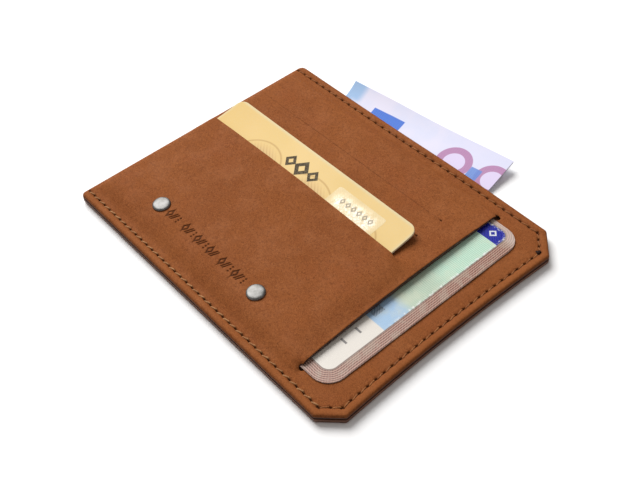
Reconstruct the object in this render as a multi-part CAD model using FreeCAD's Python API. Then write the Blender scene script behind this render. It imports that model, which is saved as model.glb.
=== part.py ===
import FreeCAD, Part
import math
import os

# Slim bifold leather card wallet, closed and lying on its back leaf, with a payment card, a
# laminated identity card and a folded banknote in it.
# The shapes are drawn with X running from the fold to the free edge, Y along the fold and Z up,
# from the fold's lower end. Export moves them so that the origin is the middle of the underside.

Vec = FreeCAD.Vector
os.makedirs("parts", exist_ok=True)

# ---------------------------------------------------------------- driving dimensions, mm
WIDTH = 122.0                 # fold to free edge
HEIGHT = 95.0                 # along the fold
EDGE_BOW = 1.8                # the free edge's two slants meet this far short of its corners
EDGE_BOW_R = 850.0            # radius that makes one hollow curve of them
LEATHER = 1.0                 # cover leather
LINING = 0.5                  # lining leather
SHEET = 0.1                   # pocket backing cloth
LEAF_GAP = 0.4                # air between the two closed leaves
NOTE_ROOM = 0.3               # depth of the banknote pocket
CHAMFER_NEAR = 6.2            # corner cut at low Y
CHAMFER_FAR = 7.4             # corner cut at high Y
CORNER_ROUND = 1.2            # radius that softens each outline corner
FOLD_CLEARANCE = 0.1          # leather cut back from each fold line
LINING_START = 1.6            # linings begin this far from the fold

CARD_LONG = 85.6              # ID-1 card
CARD_SHORT = 54.0
CARD_THICK = 0.76
CARD_ROUND = 3.18
ID_LONG = 105.0               # laminated ID-2 card with its rim
ID_SHORT = 79.0
ID_THICK = 0.5
ID_FOIL = 0.1
ID_ROUND = 6.2
NOTE_WIDE = 66.5              # banknote folded in half
NOTE_LONG = 72.0
NOTE_THICK = 0.2
NOTE_TURN = 7.8               # degrees that the note lies askew

STITCH_INSET = 2.8
STITCH_BOW = 1.1              # the stitch line bends in this far along the hollow free edge
STITCH_PITCH = 3.1
STITCH_LONG = 2.2
STITCH_WIDE = 0.6
STITCH_PROUD = 0.05           # how far the thread stands out of its groove
STITCH_DEEP = 0.2
STITCH_INNER_H = 0.15
GROOVE_WIDE = 0.9
TABLE_CLEARANCE = 0.1         # the back leaf's thread stays this far off the table
SLIDE_CLEARANCE = 0.03        # identity card over the stitches
SHEET_CLEARANCE = 0.05        # pocket cloth over the identity card
CARD_CLEARANCE = 0.04         # payment card over the pocket's floor
NOTE_CLEARANCE = 0.05         # banknote over the pocket's floor
BOARD_CLEARANCE = 0.05        # leatherboard under the identity card's level
OVERLAP = 0.5                 # tools that cut or bound a shape reach this much further

# ---------------------------------------------------------------- levels, bottom to top
Z_BACK = LEATHER
Z_BACK_LINING = Z_BACK + NOTE_ROOM + LINING
Z_FRONT_LINING = Z_BACK_LINING + LEAF_GAP
Z_FRONT = Z_FRONT_LINING + LINING
Z_RIM = Z_FRONT + LEATHER
Z_ID = Z_RIM + STITCH_PROUD + SLIDE_CLEARANCE
Z_SHEETS = Z_ID + ID_THICK + SHEET_CLEARANCE
Z_CENTRE = Z_SHEETS + 3 * SHEET          # underside of the raised centre
Z_CARD = Z_CENTRE + CARD_CLEARANCE       # underside of the payment card at its inner end
Z_BEYOND = 20.0                          # a level above everything
Z_BELOW = -1.0                           # a level below everything

# ---------------------------------------------------------------- raised centre of the front
SLIT_UPPER_Y = 73.5
SLIT_MIDDLE_Y = 63.7
SLIT_LOWER_Y = 52.0
SLIT_X = (4.7, 90.8)          # both ends of the upper and middle slits
SLIT_CUT = 0.3
ID_SLIT_X = 101.8             # the upright slit that the identity card enters
ID_SLIT_Y = (7.2, 87.9)
PUNCH_R = 0.8                 # round punched end of the upright slit
RIM_Y = 5.4                   # flat stitched margin beside the raised centre
RAMP_Y = 2.6                  # run of the slope up to the raised centre
RAMP_X0 = 1.7                 # foot of the slope beside the fold
RAMP_SLOPE = 1.47             # rise over run of that slope
POCKET_FOOT_Y = 4.9           # foot of the slope up to the lower pocket
POCKET_TOE_Y = 10.0           # where the lower pocket clears the inner end of the card
POCKET_TOE_RISE = 0.84        # height of that toe over the card's underside there
POCKET_LIP_RISE = 1.74        # further rise from the toe to the lip
POCKET_RIGHT = (91.7, 97.0)   # slope down to the right of the card
BACKING_X = (3.5, 92.7)       # both sides of the cloth behind each slit
BACKING_TAB = 5.0             # glued strip along the top of that cloth
BACKING_SETBACK = 1.5         # the cloth ends this far short of the slit above it
BACKING_Y = RIM_Y + RAMP_Y + 0.1            # lower end of the cloth, where the raised centre is level
BOARD_MARGIN = 0.5            # leatherboard round the identity card

CARD_X = 5.3                  # left edge of the payment card
CARD_Y = 10.2                 # inner end of the payment card
CARD_TILT = math.radians(2.2)
CARD_BEND_LENGTH = 16.4       # outer stretch that springs upwards
CARD_BEND_R = 80.0
CHIP_BOX = (10.2, 24.0, 12.6, 11.4)      # x, y from the card's corner, then size
FOIL_BOX = (55.0, 40.5, 21.0, 9.5)
STRIPE_BOX = (0.0, 37.8, CARD_LONG, 12.7)
INLAY = 0.06                  # depth of chip, foil and stripe in the card

ID_X = 7.7
ID_Y = 7.6
NOTE_CORNER = (31.2, 30.6)    # inner left corner of the note
NOTE_CURL_Y = HEIGHT + 1.0    # the note curls upwards past this line
NOTE_CURL_R = 30.0
NOTE_CURL_REACH = 24.0        # length of sheet drawn past that line before it is cut to size
NOTE_SLOT = 0.04              # air between the note's two plies
POCKET_MARGIN = 6.0           # closed margin round the banknote pocket

# ---------------------------------------------------------------- fastenings
RIVETS = ((25.8, 14.9), (74.6, 14.0))
RIVET_CAP_R = 2.95
RIVET_CAP_H = 0.85
RIVET_POST_R = 1.5
RIVET_WASHER_R = 2.6
RIVET_WASHER_H = 0.3

TO_ORIGIN = Vec(-WIDTH / 2, -HEIGHT / 2, 0)


# ---------------------------------------------------------------- helpers
def save(name, shape):
    """Write one node, moved to the row's origin, and print what it is."""
    placed = shape.copy()
    placed.translate(TO_ORIGIN)
    placed.exportStep("parts/" + name + ".step")
    box = placed.BoundBox
    print("%-24s solids %3d valid %s volume %9.2f z %.2f..%.2f"
          % (name, len(placed.Solids), placed.isValid(), placed.Volume, box.ZMin, box.ZMax))


def polygon_face(points):
    return Part.Face(Part.makePolygon(points + [points[0]]))


def prism_x(profile, x0, x1):
    """Extrude a (y, z) outline along X."""
    face = polygon_face([Vec(x0, y, z) for y, z in profile])
    return face.extrude(Vec(x1 - x0, 0, 0))


def prism_y(profile, y0, y1):
    """Extrude an (x, z) outline along Y."""
    face = polygon_face([Vec(x, y0, z) for x, z in profile])
    return face.extrude(Vec(0, y1 - y0, 0))


def slab(x0, x1, y0, y1, z0, z1):
    return Part.makeBox(x1 - x0, y1 - y0, z1 - z0, Vec(x0, y0, z0))


def rounded_wire(corners, z):
    """Closed outline through (x, y, radius) corners, each softened by its own radius."""
    edges = []
    count = len(corners)
    stops = []
    for i, (x, y, radius) in enumerate(corners):
        here = Vec(x, y, z)
        before = Vec(corners[i - 1][0], corners[i - 1][1], z) - here
        after = Vec(corners[(i + 1) % count][0], corners[(i + 1) % count][1], z) - here
        before.normalize()
        after.normalize()
        half = before.getAngle(after) / 2
        setback = radius / math.tan(half)
        bisector = before + after
        bisector.normalize()
        middle = here + bisector * (radius / math.sin(half) - radius)
        stops.append((here + before * setback, middle, here + after * setback, radius))
    for i, (start, middle, end, radius) in enumerate(stops):
        if radius > 0:
            edges.append(Part.Arc(start, middle, end).toShape())
        edges.append(Part.makeLine(end, stops[(i + 1) % count][0]))
    return Part.Wire(edges)


def rounded_slab(corners, z0, z1):
    return Part.Face(rounded_wire(corners, z0)).extrude(Vec(0, 0, z1 - z0))


def rectangle(x0, x1, y0, y1, radius):
    return [(x0, y0, radius), (x1, y0, radius), (x1, y1, radius), (x0, y1, radius)]


def leaf_outline(start):
    """Leaf seen from above: square at the fold, both free corners cut off, free edge slightly hollow."""
    soft = CORNER_ROUND
    return [(start, 0, 0), (WIDTH - CHAMFER_NEAR, 0, soft), (WIDTH, CHAMFER_NEAR, soft),
            (WIDTH - EDGE_BOW, HEIGHT / 2, EDGE_BOW_R), (WIDTH, HEIGHT - CHAMFER_FAR, soft),
            (WIDTH - CHAMFER_FAR, HEIGHT, soft), (start, HEIGHT, 0)]


# ---------------------------------------------------------------- stitching
def stitch_path():
    """The stitch line of a leaf as three runs: bottom, side with both cut corners, and top."""
    inset = STITCH_INSET
    near = CHAMFER_NEAR - inset * (2 - math.sqrt(2))
    far = CHAMFER_FAR - inset * (2 - math.sqrt(2))
    start = LINING_START + FOLD_CLEARANCE
    side = WIDTH - inset
    bottom = [Vec(start, inset, 0), Vec(side - near, inset, 0)]
    free = [Vec(side - near, inset, 0), Vec(side, inset + near, 0), Vec(side - STITCH_BOW, HEIGHT / 2, 0),
            Vec(side, HEIGHT - inset - far, 0), Vec(side - far, HEIGHT - inset, 0)]
    top = [Vec(side - far, HEIGHT - inset, 0), Vec(start, HEIGHT - inset, 0)]
    return {"bottom": bottom, "side": free, "top": top}


def stitches_on(points, z0, z1):
    """Flat stitches, evenly spaced along each straight run of a path."""
    bars = []
    for a, b in zip(points[:-1], points[1:]):
        run = b - a
        count = max(1, round(run.Length / STITCH_PITCH))
        direction = Vec(run)
        direction.normalize()
        angle = math.degrees(math.atan2(direction.y, direction.x))
        for i in range(count):
            middle = a + run * ((i + 0.5) / count)
            bar = Part.makeBox(STITCH_LONG, STITCH_WIDE, z1 - z0,
                               Vec(-STITCH_LONG / 2, -STITCH_WIDE / 2, z0))
            bar.rotate(Vec(0, 0, 0), Vec(0, 0, 1), angle)
            bar.translate(middle)
            bars.append(bar)
    return bars


def stitch_groove(path, z0, z1):
    """Shallow channel along one run of the stitch line, which the thread lies in."""
    pieces = []
    for a, b in zip(path[:-1], path[1:]):
        run = b - a
        angle = math.degrees(math.atan2(run.y, run.x))
        channel = Part.makeBox(run.Length + GROOVE_WIDE, GROOVE_WIDE, z1 - z0,
                               Vec(-GROOVE_WIDE / 2, -GROOVE_WIDE / 2, z0))
        channel.rotate(Vec(0, 0, 0), Vec(0, 0, 1), angle)
        channel.translate(a)
        pieces.append(channel)
    return pieces[0].multiFuse(pieces[1:]) if len(pieces) > 1 else pieces[0]


# ---------------------------------------------------------------- front cover
def centre_hollow():
    """Space under the raised centre, from the cover's underside level upwards."""
    rise = Z_CENTRE - Z_FRONT
    across = prism_x([(RIM_Y, Z_FRONT), (RIM_Y + RAMP_Y, Z_CENTRE),
                      (HEIGHT - RIM_Y - RAMP_Y, Z_CENTRE), (HEIGHT - RIM_Y, Z_FRONT)], 0, WIDTH)
    along = prism_y([(RAMP_X0, Z_FRONT), (RAMP_X0 + rise / RAMP_SLOPE, Z_CENTRE),
                     (ID_SLIT_X, Z_CENTRE), (ID_SLIT_X, Z_FRONT)], 0, HEIGHT)
    return across.common(along)


def pocket_hollow():
    """Space under the lower pocket, which rises with the tilted payment card to its lip."""
    toe = Z_CARD + POCKET_TOE_RISE
    lip = toe + POCKET_LIP_RISE
    roof = lip + OVERLAP
    across = prism_x([(POCKET_FOOT_Y, Z_FRONT), (POCKET_TOE_Y, toe), (SLIT_LOWER_Y, lip),
                      (SLIT_LOWER_Y, Z_FRONT)], 0, WIDTH)
    along = prism_y([(RAMP_X0, Z_FRONT), (RAMP_X0 + (roof - Z_FRONT) / RAMP_SLOPE, roof),
                     (POCKET_RIGHT[0], roof), (POCKET_RIGHT[1], Z_CENTRE),
                     (POCKET_RIGHT[1], Z_FRONT)], 0, HEIGHT)
    return across.common(along)


def pocket_slope():
    return math.atan2(POCKET_LIP_RISE, SLIT_LOWER_Y - POCKET_TOE_Y)


def rivet_seat(y):
    """Height of the pocket leather's underside at a rivet."""
    return Z_CARD + POCKET_TOE_RISE + (y - POCKET_TOE_Y) * math.tan(pocket_slope())


def on_rivet_seat(shape, x, y):
    """Tilt a shape built about the Z axis onto the sloping leather and move it there."""
    shape.rotate(Vec(0, 0, 0), Vec(1, 0, 0), math.degrees(pocket_slope()))
    shape.translate(Vec(x, y, rivet_seat(y)))
    return shape


def leather_through():
    """Thickness of the sloping pocket leather, square to its face."""
    return LEATHER * math.cos(pocket_slope())


def make_front_panel():
    hollow = centre_hollow().fuse(pocket_hollow())
    outside = hollow.copy()
    outside.translate(Vec(0, 0, LEATHER))
    start = LEATHER + FOLD_CLEARANCE
    panel = rounded_slab(leaf_outline(start), Z_FRONT, Z_RIM)
    panel = panel.fuse(outside).cut(hollow)
    for y in (SLIT_UPPER_Y, SLIT_MIDDLE_Y):
        panel = panel.cut(slab(SLIT_X[0], SLIT_X[1], y, y + SLIT_CUT, Z_RIM, Z_BEYOND))
    for y in ID_SLIT_Y:
        panel = panel.cut(Part.makeCylinder(PUNCH_R, Z_BEYOND, Vec(ID_SLIT_X, y, Z_FRONT - OVERLAP)))
    for x, y in RIVETS:
        bore = Part.makeCylinder(RIVET_POST_R, 3 * LEATHER, Vec(0, 0, -LEATHER))
        seat = Part.makeCylinder(RIVET_WASHER_R, LEATHER + RIVET_WASHER_H, Vec(0, 0, -LEATHER))
        panel = panel.cut(on_rivet_seat(bore.fuse(seat), x, y))
    for path in stitch_path().values():
        panel = panel.cut(stitch_groove(path, Z_RIM - STITCH_DEEP, Z_BEYOND))
    return panel.removeSplitter()


def make_rivets():
    """Domed caps, posts through the leather and flush washers under it."""
    caps, posts, washers = [], [], []
    top = leather_through()
    sphere_r = (RIVET_CAP_R ** 2 + RIVET_CAP_H ** 2) / (2 * RIVET_CAP_H)
    for x, y in RIVETS:
        ball = Part.makeSphere(sphere_r, Vec(0, 0, top + RIVET_CAP_H - sphere_r))
        cap = ball.common(Part.makeCylinder(RIVET_CAP_R + OVERLAP, sphere_r, Vec(0, 0, top)))
        post = Part.makeCylinder(RIVET_POST_R, top - RIVET_WASHER_H, Vec(0, 0, RIVET_WASHER_H))
        washer = Part.makeCylinder(RIVET_WASHER_R, RIVET_WASHER_H)
        caps.append(on_rivet_seat(cap, x, y))
        posts.append(on_rivet_seat(post, x, y))
        washers.append(on_rivet_seat(washer, x, y))
    return caps, posts, washers


# ---------------------------------------------------------------- payment card
def card_layer(low, high):
    """A layer of the card between two heights over its underside, with its upward bend."""
    flat = CARD_SHORT - CARD_BEND_LENGTH
    turn = CARD_BEND_LENGTH / CARD_BEND_R
    centre_z = CARD_BEND_R

    def bent(height, angle):
        radius = centre_z - height
        return Vec(0, flat + radius * math.sin(angle), centre_z - radius * math.cos(angle))

    edges = [Part.makeLine(Vec(0, 0, low), Vec(0, flat, low)),
             Part.Arc(bent(low, 0), bent(low, turn / 2), bent(low, turn)).toShape(),
             Part.makeLine(bent(low, turn), bent(high, turn)),
             Part.Arc(bent(high, turn), bent(high, turn / 2), bent(high, 0)).toShape(),
             Part.makeLine(Vec(0, flat, high), Vec(0, 0, high)),
             Part.makeLine(Vec(0, 0, high), Vec(0, 0, low))]
    return Part.Face(Part.Wire(edges)).extrude(Vec(CARD_LONG, 0, 0))


def place_card(shape):
    placed = shape.copy()
    placed.rotate(Vec(0, 0, 0), Vec(1, 0, 0), math.degrees(CARD_TILT))
    placed.translate(Vec(CARD_X, CARD_Y, Z_CARD))
    return placed


def card_inlay(box, low, high):
    x, y, wide, tall = box
    window = slab(x, x + wide, y, y + tall, Z_BELOW, Z_BEYOND)
    return card_layer(low, high).common(window)


def make_payment_card():
    window = rounded_slab(rectangle(0, CARD_LONG, 0, CARD_SHORT, CARD_ROUND), Z_BELOW, Z_BEYOND)
    chip = card_inlay(CHIP_BOX, CARD_THICK - INLAY, CARD_THICK)
    foil = card_inlay(FOIL_BOX, CARD_THICK - INLAY, CARD_THICK)
    stripe = card_inlay(STRIPE_BOX, 0, INLAY).common(window)
    card = card_layer(0, CARD_THICK).common(window)
    card = card.cut(chip).cut(foil).cut(stripe)
    return place_card(card), place_card(chip), place_card(foil), place_card(stripe)


# ---------------------------------------------------------------- identity card
def make_id_card():
    outline = rectangle(ID_X, ID_X + ID_LONG, ID_Y, ID_Y + ID_SHORT, ID_ROUND)
    sheet = rounded_slab(outline, Z_ID + ID_FOIL, Z_ID + ID_THICK - ID_FOIL)
    lower = rounded_slab(outline, Z_ID, Z_ID + ID_FOIL)
    upper = rounded_slab(outline, Z_ID + ID_THICK - ID_FOIL, Z_ID + ID_THICK)
    return sheet, [lower, upper]


# ---------------------------------------------------------------- banknote
def make_banknote():
    """Two plies joined by a fold at low X, lying askew, curling upwards past the pocket's mouth."""
    low = Z_BACK + NOTE_CLEARANCE
    middle = low + NOTE_THICK / 2
    plies = note_sheet(low, low + NOTE_THICK, 0)
    air = note_sheet(middle - NOTE_SLOT / 2, middle + NOTE_SLOT / 2, 2 * NOTE_SLOT)
    return plies.cut(air)


def note_sheet(z0, z1, from_fold):
    """Sheet between two heights that curls about an X axis, cut to the note's askew outline."""
    turn = NOTE_CURL_REACH / NOTE_CURL_R
    centre_z = z0 + NOTE_CURL_R

    def curled(z, angle):
        radius = centre_z - z
        return Vec(0, NOTE_CURL_Y + radius * math.sin(angle), centre_z - radius * math.cos(angle))

    edges = [Part.makeLine(Vec(0, 0, z0), Vec(0, NOTE_CURL_Y, z0)),
             Part.Arc(curled(z0, 0), curled(z0, turn / 2), curled(z0, turn)).toShape(),
             Part.makeLine(curled(z0, turn), curled(z1, turn)),
             Part.Arc(curled(z1, turn), curled(z1, turn / 2), curled(z1, 0)).toShape(),
             Part.makeLine(Vec(0, NOTE_CURL_Y, z1), Vec(0, 0, z1)),
             Part.makeLine(Vec(0, 0, z1), Vec(0, 0, z0))]
    sheet = Part.Face(Part.Wire(edges)).extrude(Vec(WIDTH, 0, 0))
    overrun = OVERLAP if from_fold else 0.0
    window = slab(from_fold, NOTE_WIDE + overrun, -overrun, NOTE_LONG + overrun, Z_BELOW, Z_BEYOND)
    window.rotate(Vec(0, 0, 0), Vec(0, 0, 1), NOTE_TURN)
    window.translate(Vec(NOTE_CORNER[0], NOTE_CORNER[1], 0))
    return sheet.common(window)


# ---------------------------------------------------------------- leaves and linings
def make_back_panel():
    start = LEATHER + FOLD_CLEARANCE
    panel = rounded_slab(leaf_outline(start), 0, Z_BACK)
    path = stitch_path()
    for run in ("bottom", "side"):
        panel = panel.cut(stitch_groove(path[run], Z_BELOW, TABLE_CLEARANCE + STITCH_DEEP))
    return panel


def make_back_lining():
    """Wall of the banknote pocket: closed on three sides, open along high Y."""
    lining = rounded_slab(leaf_outline(LINING_START), Z_BACK, Z_BACK_LINING)
    room = slab(POCKET_MARGIN, WIDTH - POCKET_MARGIN, POCKET_MARGIN, HEIGHT + OVERLAP,
                Z_BACK, Z_BACK + NOTE_ROOM)
    return lining.cut(room)


def make_spine():
    """Strip of cover leather between the two fold lines."""
    gap = FOLD_CLEARANCE / 2
    return slab(0, LEATHER, 0, HEIGHT, Z_BACK + gap, Z_FRONT - gap)


def make_backing(top_y, level):
    """Cloth behind one slit, glued under the leather by a thicker tab along its top."""
    x0, x1 = BACKING_X
    z0 = Z_SHEETS + level * SHEET
    sheet = slab(x0, x1, BACKING_Y, top_y, z0, z0 + SHEET)
    tab = slab(x0, x1, top_y - BACKING_TAB, top_y, z0, Z_CENTRE)
    return sheet.fuse(tab).removeSplitter()


def make_board():
    """Leatherboard between cover and lining, level with the rim, that the identity card lies on."""
    return slab(ID_X - BOARD_MARGIN, ID_SLIT_X - PUNCH_R - FOLD_CLEARANCE, ID_Y - BOARD_MARGIN,
                ID_Y + ID_SHORT + BOARD_MARGIN, Z_FRONT, Z_RIM - BOARD_CLEARANCE)


def make_front_stitches(run):
    path = stitch_path()[run]
    outer = stitches_on(path, Z_RIM - STITCH_DEEP, Z_RIM + STITCH_PROUD)
    inner = stitches_on(path, Z_FRONT_LINING - STITCH_INNER_H, Z_FRONT_LINING)
    return Part.makeCompound(outer + inner)


def make_back_stitches(run):
    path = stitch_path()[run]
    outer = stitches_on(path, TABLE_CLEARANCE, TABLE_CLEARANCE + STITCH_DEEP)
    inner = stitches_on(path, Z_BACK_LINING, Z_BACK_LINING + STITCH_INNER_H)
    return Part.makeCompound(outer + inner)


# ---------------------------------------------------------------- build and export
def build_back_leaf():
    save("back_panel", make_back_panel())
    save("back_lining", make_back_lining())
    for run in ("bottom", "side"):
        save("stitches_back_" + run, make_back_stitches(run))


def build_front_leaf():
    save("front_panel", make_front_panel())
    save("front_lining", rounded_slab(leaf_outline(LINING_START), Z_FRONT_LINING, Z_FRONT))
    save("interlining_board", make_board())
    tops = {"upper": ID_Y + ID_SHORT, "middle": SLIT_UPPER_Y, "lower": SLIT_MIDDLE_Y}
    for level, (slit, top_y) in enumerate(tops.items()):
        save("pocket_backing_" + slit, make_backing(top_y - BACKING_SETBACK, level))
    caps, posts, washers = make_rivets()
    save("rivet_caps", Part.makeCompound(caps))
    save("rivet_posts", Part.makeCompound(posts))
    save("rivet_washers", Part.makeCompound(washers))
    for run in ("bottom", "side", "top"):
        save("stitches_front_" + run, make_front_stitches(run))


def build_contents():
    card, chip, foil, stripe = make_payment_card()
    save("payment_card", card)
    save("payment_card_chip", chip)
    save("payment_card_foil", foil)
    save("payment_card_stripe", stripe)
    sheet, foils = make_id_card()
    save("id_card_sheet", sheet)
    save("id_card_foils", Part.makeCompound(foils))
    save("banknote", make_banknote())


build_back_leaf()
save("spine_fold", make_spine())
build_front_leaf()
build_contents()
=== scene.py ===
import math

import bpy
import numpy as np
from mathutils import Matrix, Vector, geometry, kdtree


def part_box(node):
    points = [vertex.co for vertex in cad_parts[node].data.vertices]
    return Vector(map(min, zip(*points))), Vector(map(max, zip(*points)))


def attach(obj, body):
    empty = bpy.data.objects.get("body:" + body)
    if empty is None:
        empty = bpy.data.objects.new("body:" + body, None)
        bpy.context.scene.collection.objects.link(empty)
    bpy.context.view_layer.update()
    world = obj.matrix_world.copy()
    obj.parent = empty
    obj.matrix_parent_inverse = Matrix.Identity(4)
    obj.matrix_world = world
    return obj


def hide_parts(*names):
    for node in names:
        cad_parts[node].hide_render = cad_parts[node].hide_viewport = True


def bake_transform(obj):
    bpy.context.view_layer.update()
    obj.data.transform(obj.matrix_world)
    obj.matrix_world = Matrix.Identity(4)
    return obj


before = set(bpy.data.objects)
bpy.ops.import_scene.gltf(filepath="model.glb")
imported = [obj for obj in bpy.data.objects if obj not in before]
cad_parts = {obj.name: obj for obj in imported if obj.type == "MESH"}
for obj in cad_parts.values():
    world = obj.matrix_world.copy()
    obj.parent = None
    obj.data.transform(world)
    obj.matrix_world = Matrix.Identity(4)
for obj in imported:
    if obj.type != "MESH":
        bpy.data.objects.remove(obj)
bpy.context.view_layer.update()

# Slim bifold leather card wallet. Shapes are worked out in millimetres from the lower end of the
# fold, on the table: x runs to the free edge, y along the fold, z up. make_mesh turns them into
# metres in the shared frame.

MM = 0.001
START = Vector((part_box("spine_fold")[0].x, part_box("spine_fold")[0].y, 0.0))


def span(node):
    """Lowest and highest corner of a CAD node, in millimetres from the fold's lower end."""
    low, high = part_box(node)
    return np.array((low - START) / MM), np.array((high - START) / MM)


# ------------------------------------------------------------ driving values, mm
WIDTH = 122.0
HEIGHT = span("front_panel")[1][1]
Z_RIM = span("interlining_board")[1][2] + 0.05
LEATHER = 1.0
FOLD_R = 1.0                       # outer radius of each half of the fold
Z_PIVOT = Z_RIM - FOLD_R
FOLD_LEATHER = 0.85                # leather is pressed thinner round the fold
LAYOUT_START = FOLD_R - FOLD_R * math.pi / 2 - (Z_PIVOT - Z_RIM / 2)
CHAMFER_NEAR = 6.2
CHAMFER_FAR = 7.4
CORNER_ROUND = 1.2
EDGE_ROUND = 0.85                  # rounding of the cut edges
EDGE_HOLLOW = 1.05                 # the free edge is this hollow at half its height
FOLD_CORNERS = (1.5, 2.4)          # rounding of the fold's lower and upper end

RIM_Y = 5.4                        # stitched margin below and above the raised centre
CENTRE = span("pocket_backing_lower")[1][2] - Z_PIVOT
CENTRE_SLOPE = CENTRE / 2.6
FOLD_SLOPE_X = 1.7                 # foot of the slope beside the fold
FOLD_SLOPE = 1.47
TOE = (4.9, 10.0, 2.81)            # foot and top of the slope up to the pocket, and its rise
POCKET_RISE = 1.74 / 42.0
POCKET_RIGHT = 91.7                # the raised pocket is highest here, and falls to the rim at POCKET_END
POCKET_END = 100.0
POCKET_TOP = 4.55
WAVE_LIFT = 0.65                   # the far edge's wave: height, middle and reach
WAVE_MIDDLE = 80.0
WAVE_REACH = 25.0
LIP_Y = 52.0
LIP_X = (4.9, 92.4)
LIP_BOW = 0.5                      # how far the lip curves towards the far edge
SLITS = ((73.5, 4.7, 90.8), (63.7, 4.7, 90.0))
ID_SLIT = ((102.2, 7.6), (101.0, 88.2))
ID_SLIT_BOW = -0.45
ID_LIP_LIFT = 1.1
ID_LIP_GAP = 0.3                   # share of that lift that the underside of the lip has
PUNCH_R = 0.8

STITCH_INSET = 2.8
STITCH_START = 1.3                 # first hole of the runs that end at the fold
RUN_PITCH = {"bottom": 3.0, "near": 2.9, "side": 3.16, "far": 2.8, "top": 3.45}
THREAD_R = {"bottom": 0.29}        # thread is loose and thick along the near edge, tight elsewhere
TIGHT_R = 0.23
THREAD_SLANT = {"bottom": 0.4}
UP, DOWN = 1, -1
GROOVE = 0.25
HOLE_HALF = 0.42                   # each hole is a short slanted cut
HOLE_SLANT = math.radians(15)
HOLE_WIDTH = 0.27
HOLE_DEPTH = 0.5
ROW_DEPTH = 0.28                   # the pressed row
DENT_DEPTH = 0.12                  # leather drawn down round the rivets
SLIT_EYES = ((91.0, 73.5), (90.2, 63.7))    # small holes that end the closed slits
KNOT = (118.7, 86.3)
KNOT_LIFT = 0.2

# ------------------------------------------------------------ small helpers


def smooth(t):
    t = np.clip(t, 0.0, 1.0)
    return t * t * (3.0 - 2.0 * t)


def soft_min(a, b, width):
    h = np.clip(0.5 + 0.5 * (b - a) / width, 0.0, 1.0)
    return b + (a - b) * h - width * h * (1.0 - h)


def soft_max(a, b, width):
    return -soft_min(-a, -b, width)


def bell(distance, width):
    return np.exp(-(distance / width) ** 2)


def ripple(x, y, wave, phase):
    """Slow, irregular unevenness between about -1 and 1, made of a few crossing waves."""
    total = np.zeros_like(x)
    for i, (turn, scale) in enumerate(((0.4, 1.0), (1.7, 0.63), (2.6, 1.31), (3.9, 0.47))):
        along = x * math.cos(turn) + y * math.sin(turn)
        total += np.sin(2 * math.pi * along / (wave * scale) + phase * (i + 1.3))
    return total / 4


def hollow(x, y):
    """How far a point near the free edge is drawn in towards the fold."""
    along = (y - HEIGHT / 2) / (HEIGHT / 2 - CHAMFER_NEAR)
    return EDGE_HOLLOW * np.clip(1 - along ** 2, 0, 1) * smooth((x - 104.0) / 13.0)


def path_distance(x, y, path):
    """Distance from each point to an open path of straight runs."""
    best = np.full(x.shape, 1e9)
    for (ax, ay), (bx, by) in zip(path[:-1], path[1:]):
        length = math.hypot(bx - ax, by - ay)
        ux, uy = (bx - ax) / length, (by - ay) / length
        along = np.clip((x - ax) * ux + (y - ay) * uy, 0.0, length)
        best = np.minimum(best, np.hypot(x - ax - along * ux, y - ay - along * uy))
    return best


# ------------------------------------------------------------ leaf outline


def inset_corners(inset, end=WIDTH):
    """Corners of the leaf's outline, moved inwards; the fold's side stays open."""
    diagonal = inset * (math.sqrt(2) - 1)
    near, far = CHAMFER_NEAR + diagonal, CHAMFER_FAR + diagonal
    return [(LAYOUT_START, inset), (end - near, inset), (end - inset, near),
            (end - inset, HEIGHT - far), (end - far, HEIGHT - inset), (LAYOUT_START, HEIGHT - inset)]


def inward(x, y):
    """Distance from the leaf's edge, positive inside; its corners are rounded."""
    planes = np.minimum(np.minimum(y, HEIGHT - y), WIDTH - x)
    planes = np.minimum(planes, (WIDTH - CHAMFER_NEAR - x + y) / math.sqrt(2))
    planes = np.minimum(planes, (WIDTH + HEIGHT - CHAMFER_FAR - x - y) / math.sqrt(2))
    rounded = CORNER_ROUND - path_distance(x, y, inset_corners(CORNER_ROUND))
    return np.where(planes >= CORNER_ROUND, planes, rounded)


def between(a, b, step):
    """Evenly spaced points from a to b."""
    count = max(2, round(math.dist(a, b) / step))
    return [(a[0] + (b[0] - a[0]) * k / count, a[1] + (b[1] - a[1]) * k / count) for k in range(count + 1)]


def outline(inset, step, end=WIDTH):
    """Points along the leaf's edge or a line inside it, from the fold round to the fold."""
    core = inset_corners(max(inset, CORNER_ROUND), end)
    radius = max(CORNER_ROUND - inset, 0.0)
    points = []
    for a, b in zip(core[:-1], core[1:]):
        length = math.dist(a, b)
        normal = ((b[1] - a[1]) / length, (a[0] - b[0]) / length)
        points += [(x + normal[0] * radius, y + normal[1] * radius) for x, y in between(a, b, step)]
        if radius and b != core[-1]:
            turn = math.atan2(normal[1], normal[0])
            points += [(b[0] + radius * math.cos(turn + q), b[1] + radius * math.sin(turn + q))
                       for q in (math.pi / 12, math.pi / 6)]
    kept = points[:1]
    for p in points[1:]:
        if math.dist(p, kept[-1]) > 0.02:
            kept.append(p)
    return np.array(kept)


# ------------------------------------------------------------ stitch line


def stitch_corners():
    corners = inset_corners(STITCH_INSET)
    return [(STITCH_START, STITCH_INSET)] + corners[1:-1] + [(STITCH_START, HEIGHT - STITCH_INSET)]


def stitch_runs():
    """Holes along each run of the stitch line."""
    corners = stitch_corners()
    return {name: between(a, b, RUN_PITCH[name]) for name, a, b in zip(RUN_PITCH, corners[:-1], corners[1:])}


def all_holes(names):
    """Three points along each slanted stitch hole of these runs."""
    runs = stitch_runs()
    spots = []
    for name in names:
        (ax, ay), (bx, by) = runs[name][0], runs[name][-1]
        turn = math.atan2(by - ay, bx - ax) - HOLE_SLANT
        dx, dy = HOLE_HALF * math.cos(turn), HOLE_HALF * math.sin(turn)
        spots += [(x + s * dx, y + s * dy) for x, y in runs[name] for s in (-1, 0, 1)]
    return np.array(spots)


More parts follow.
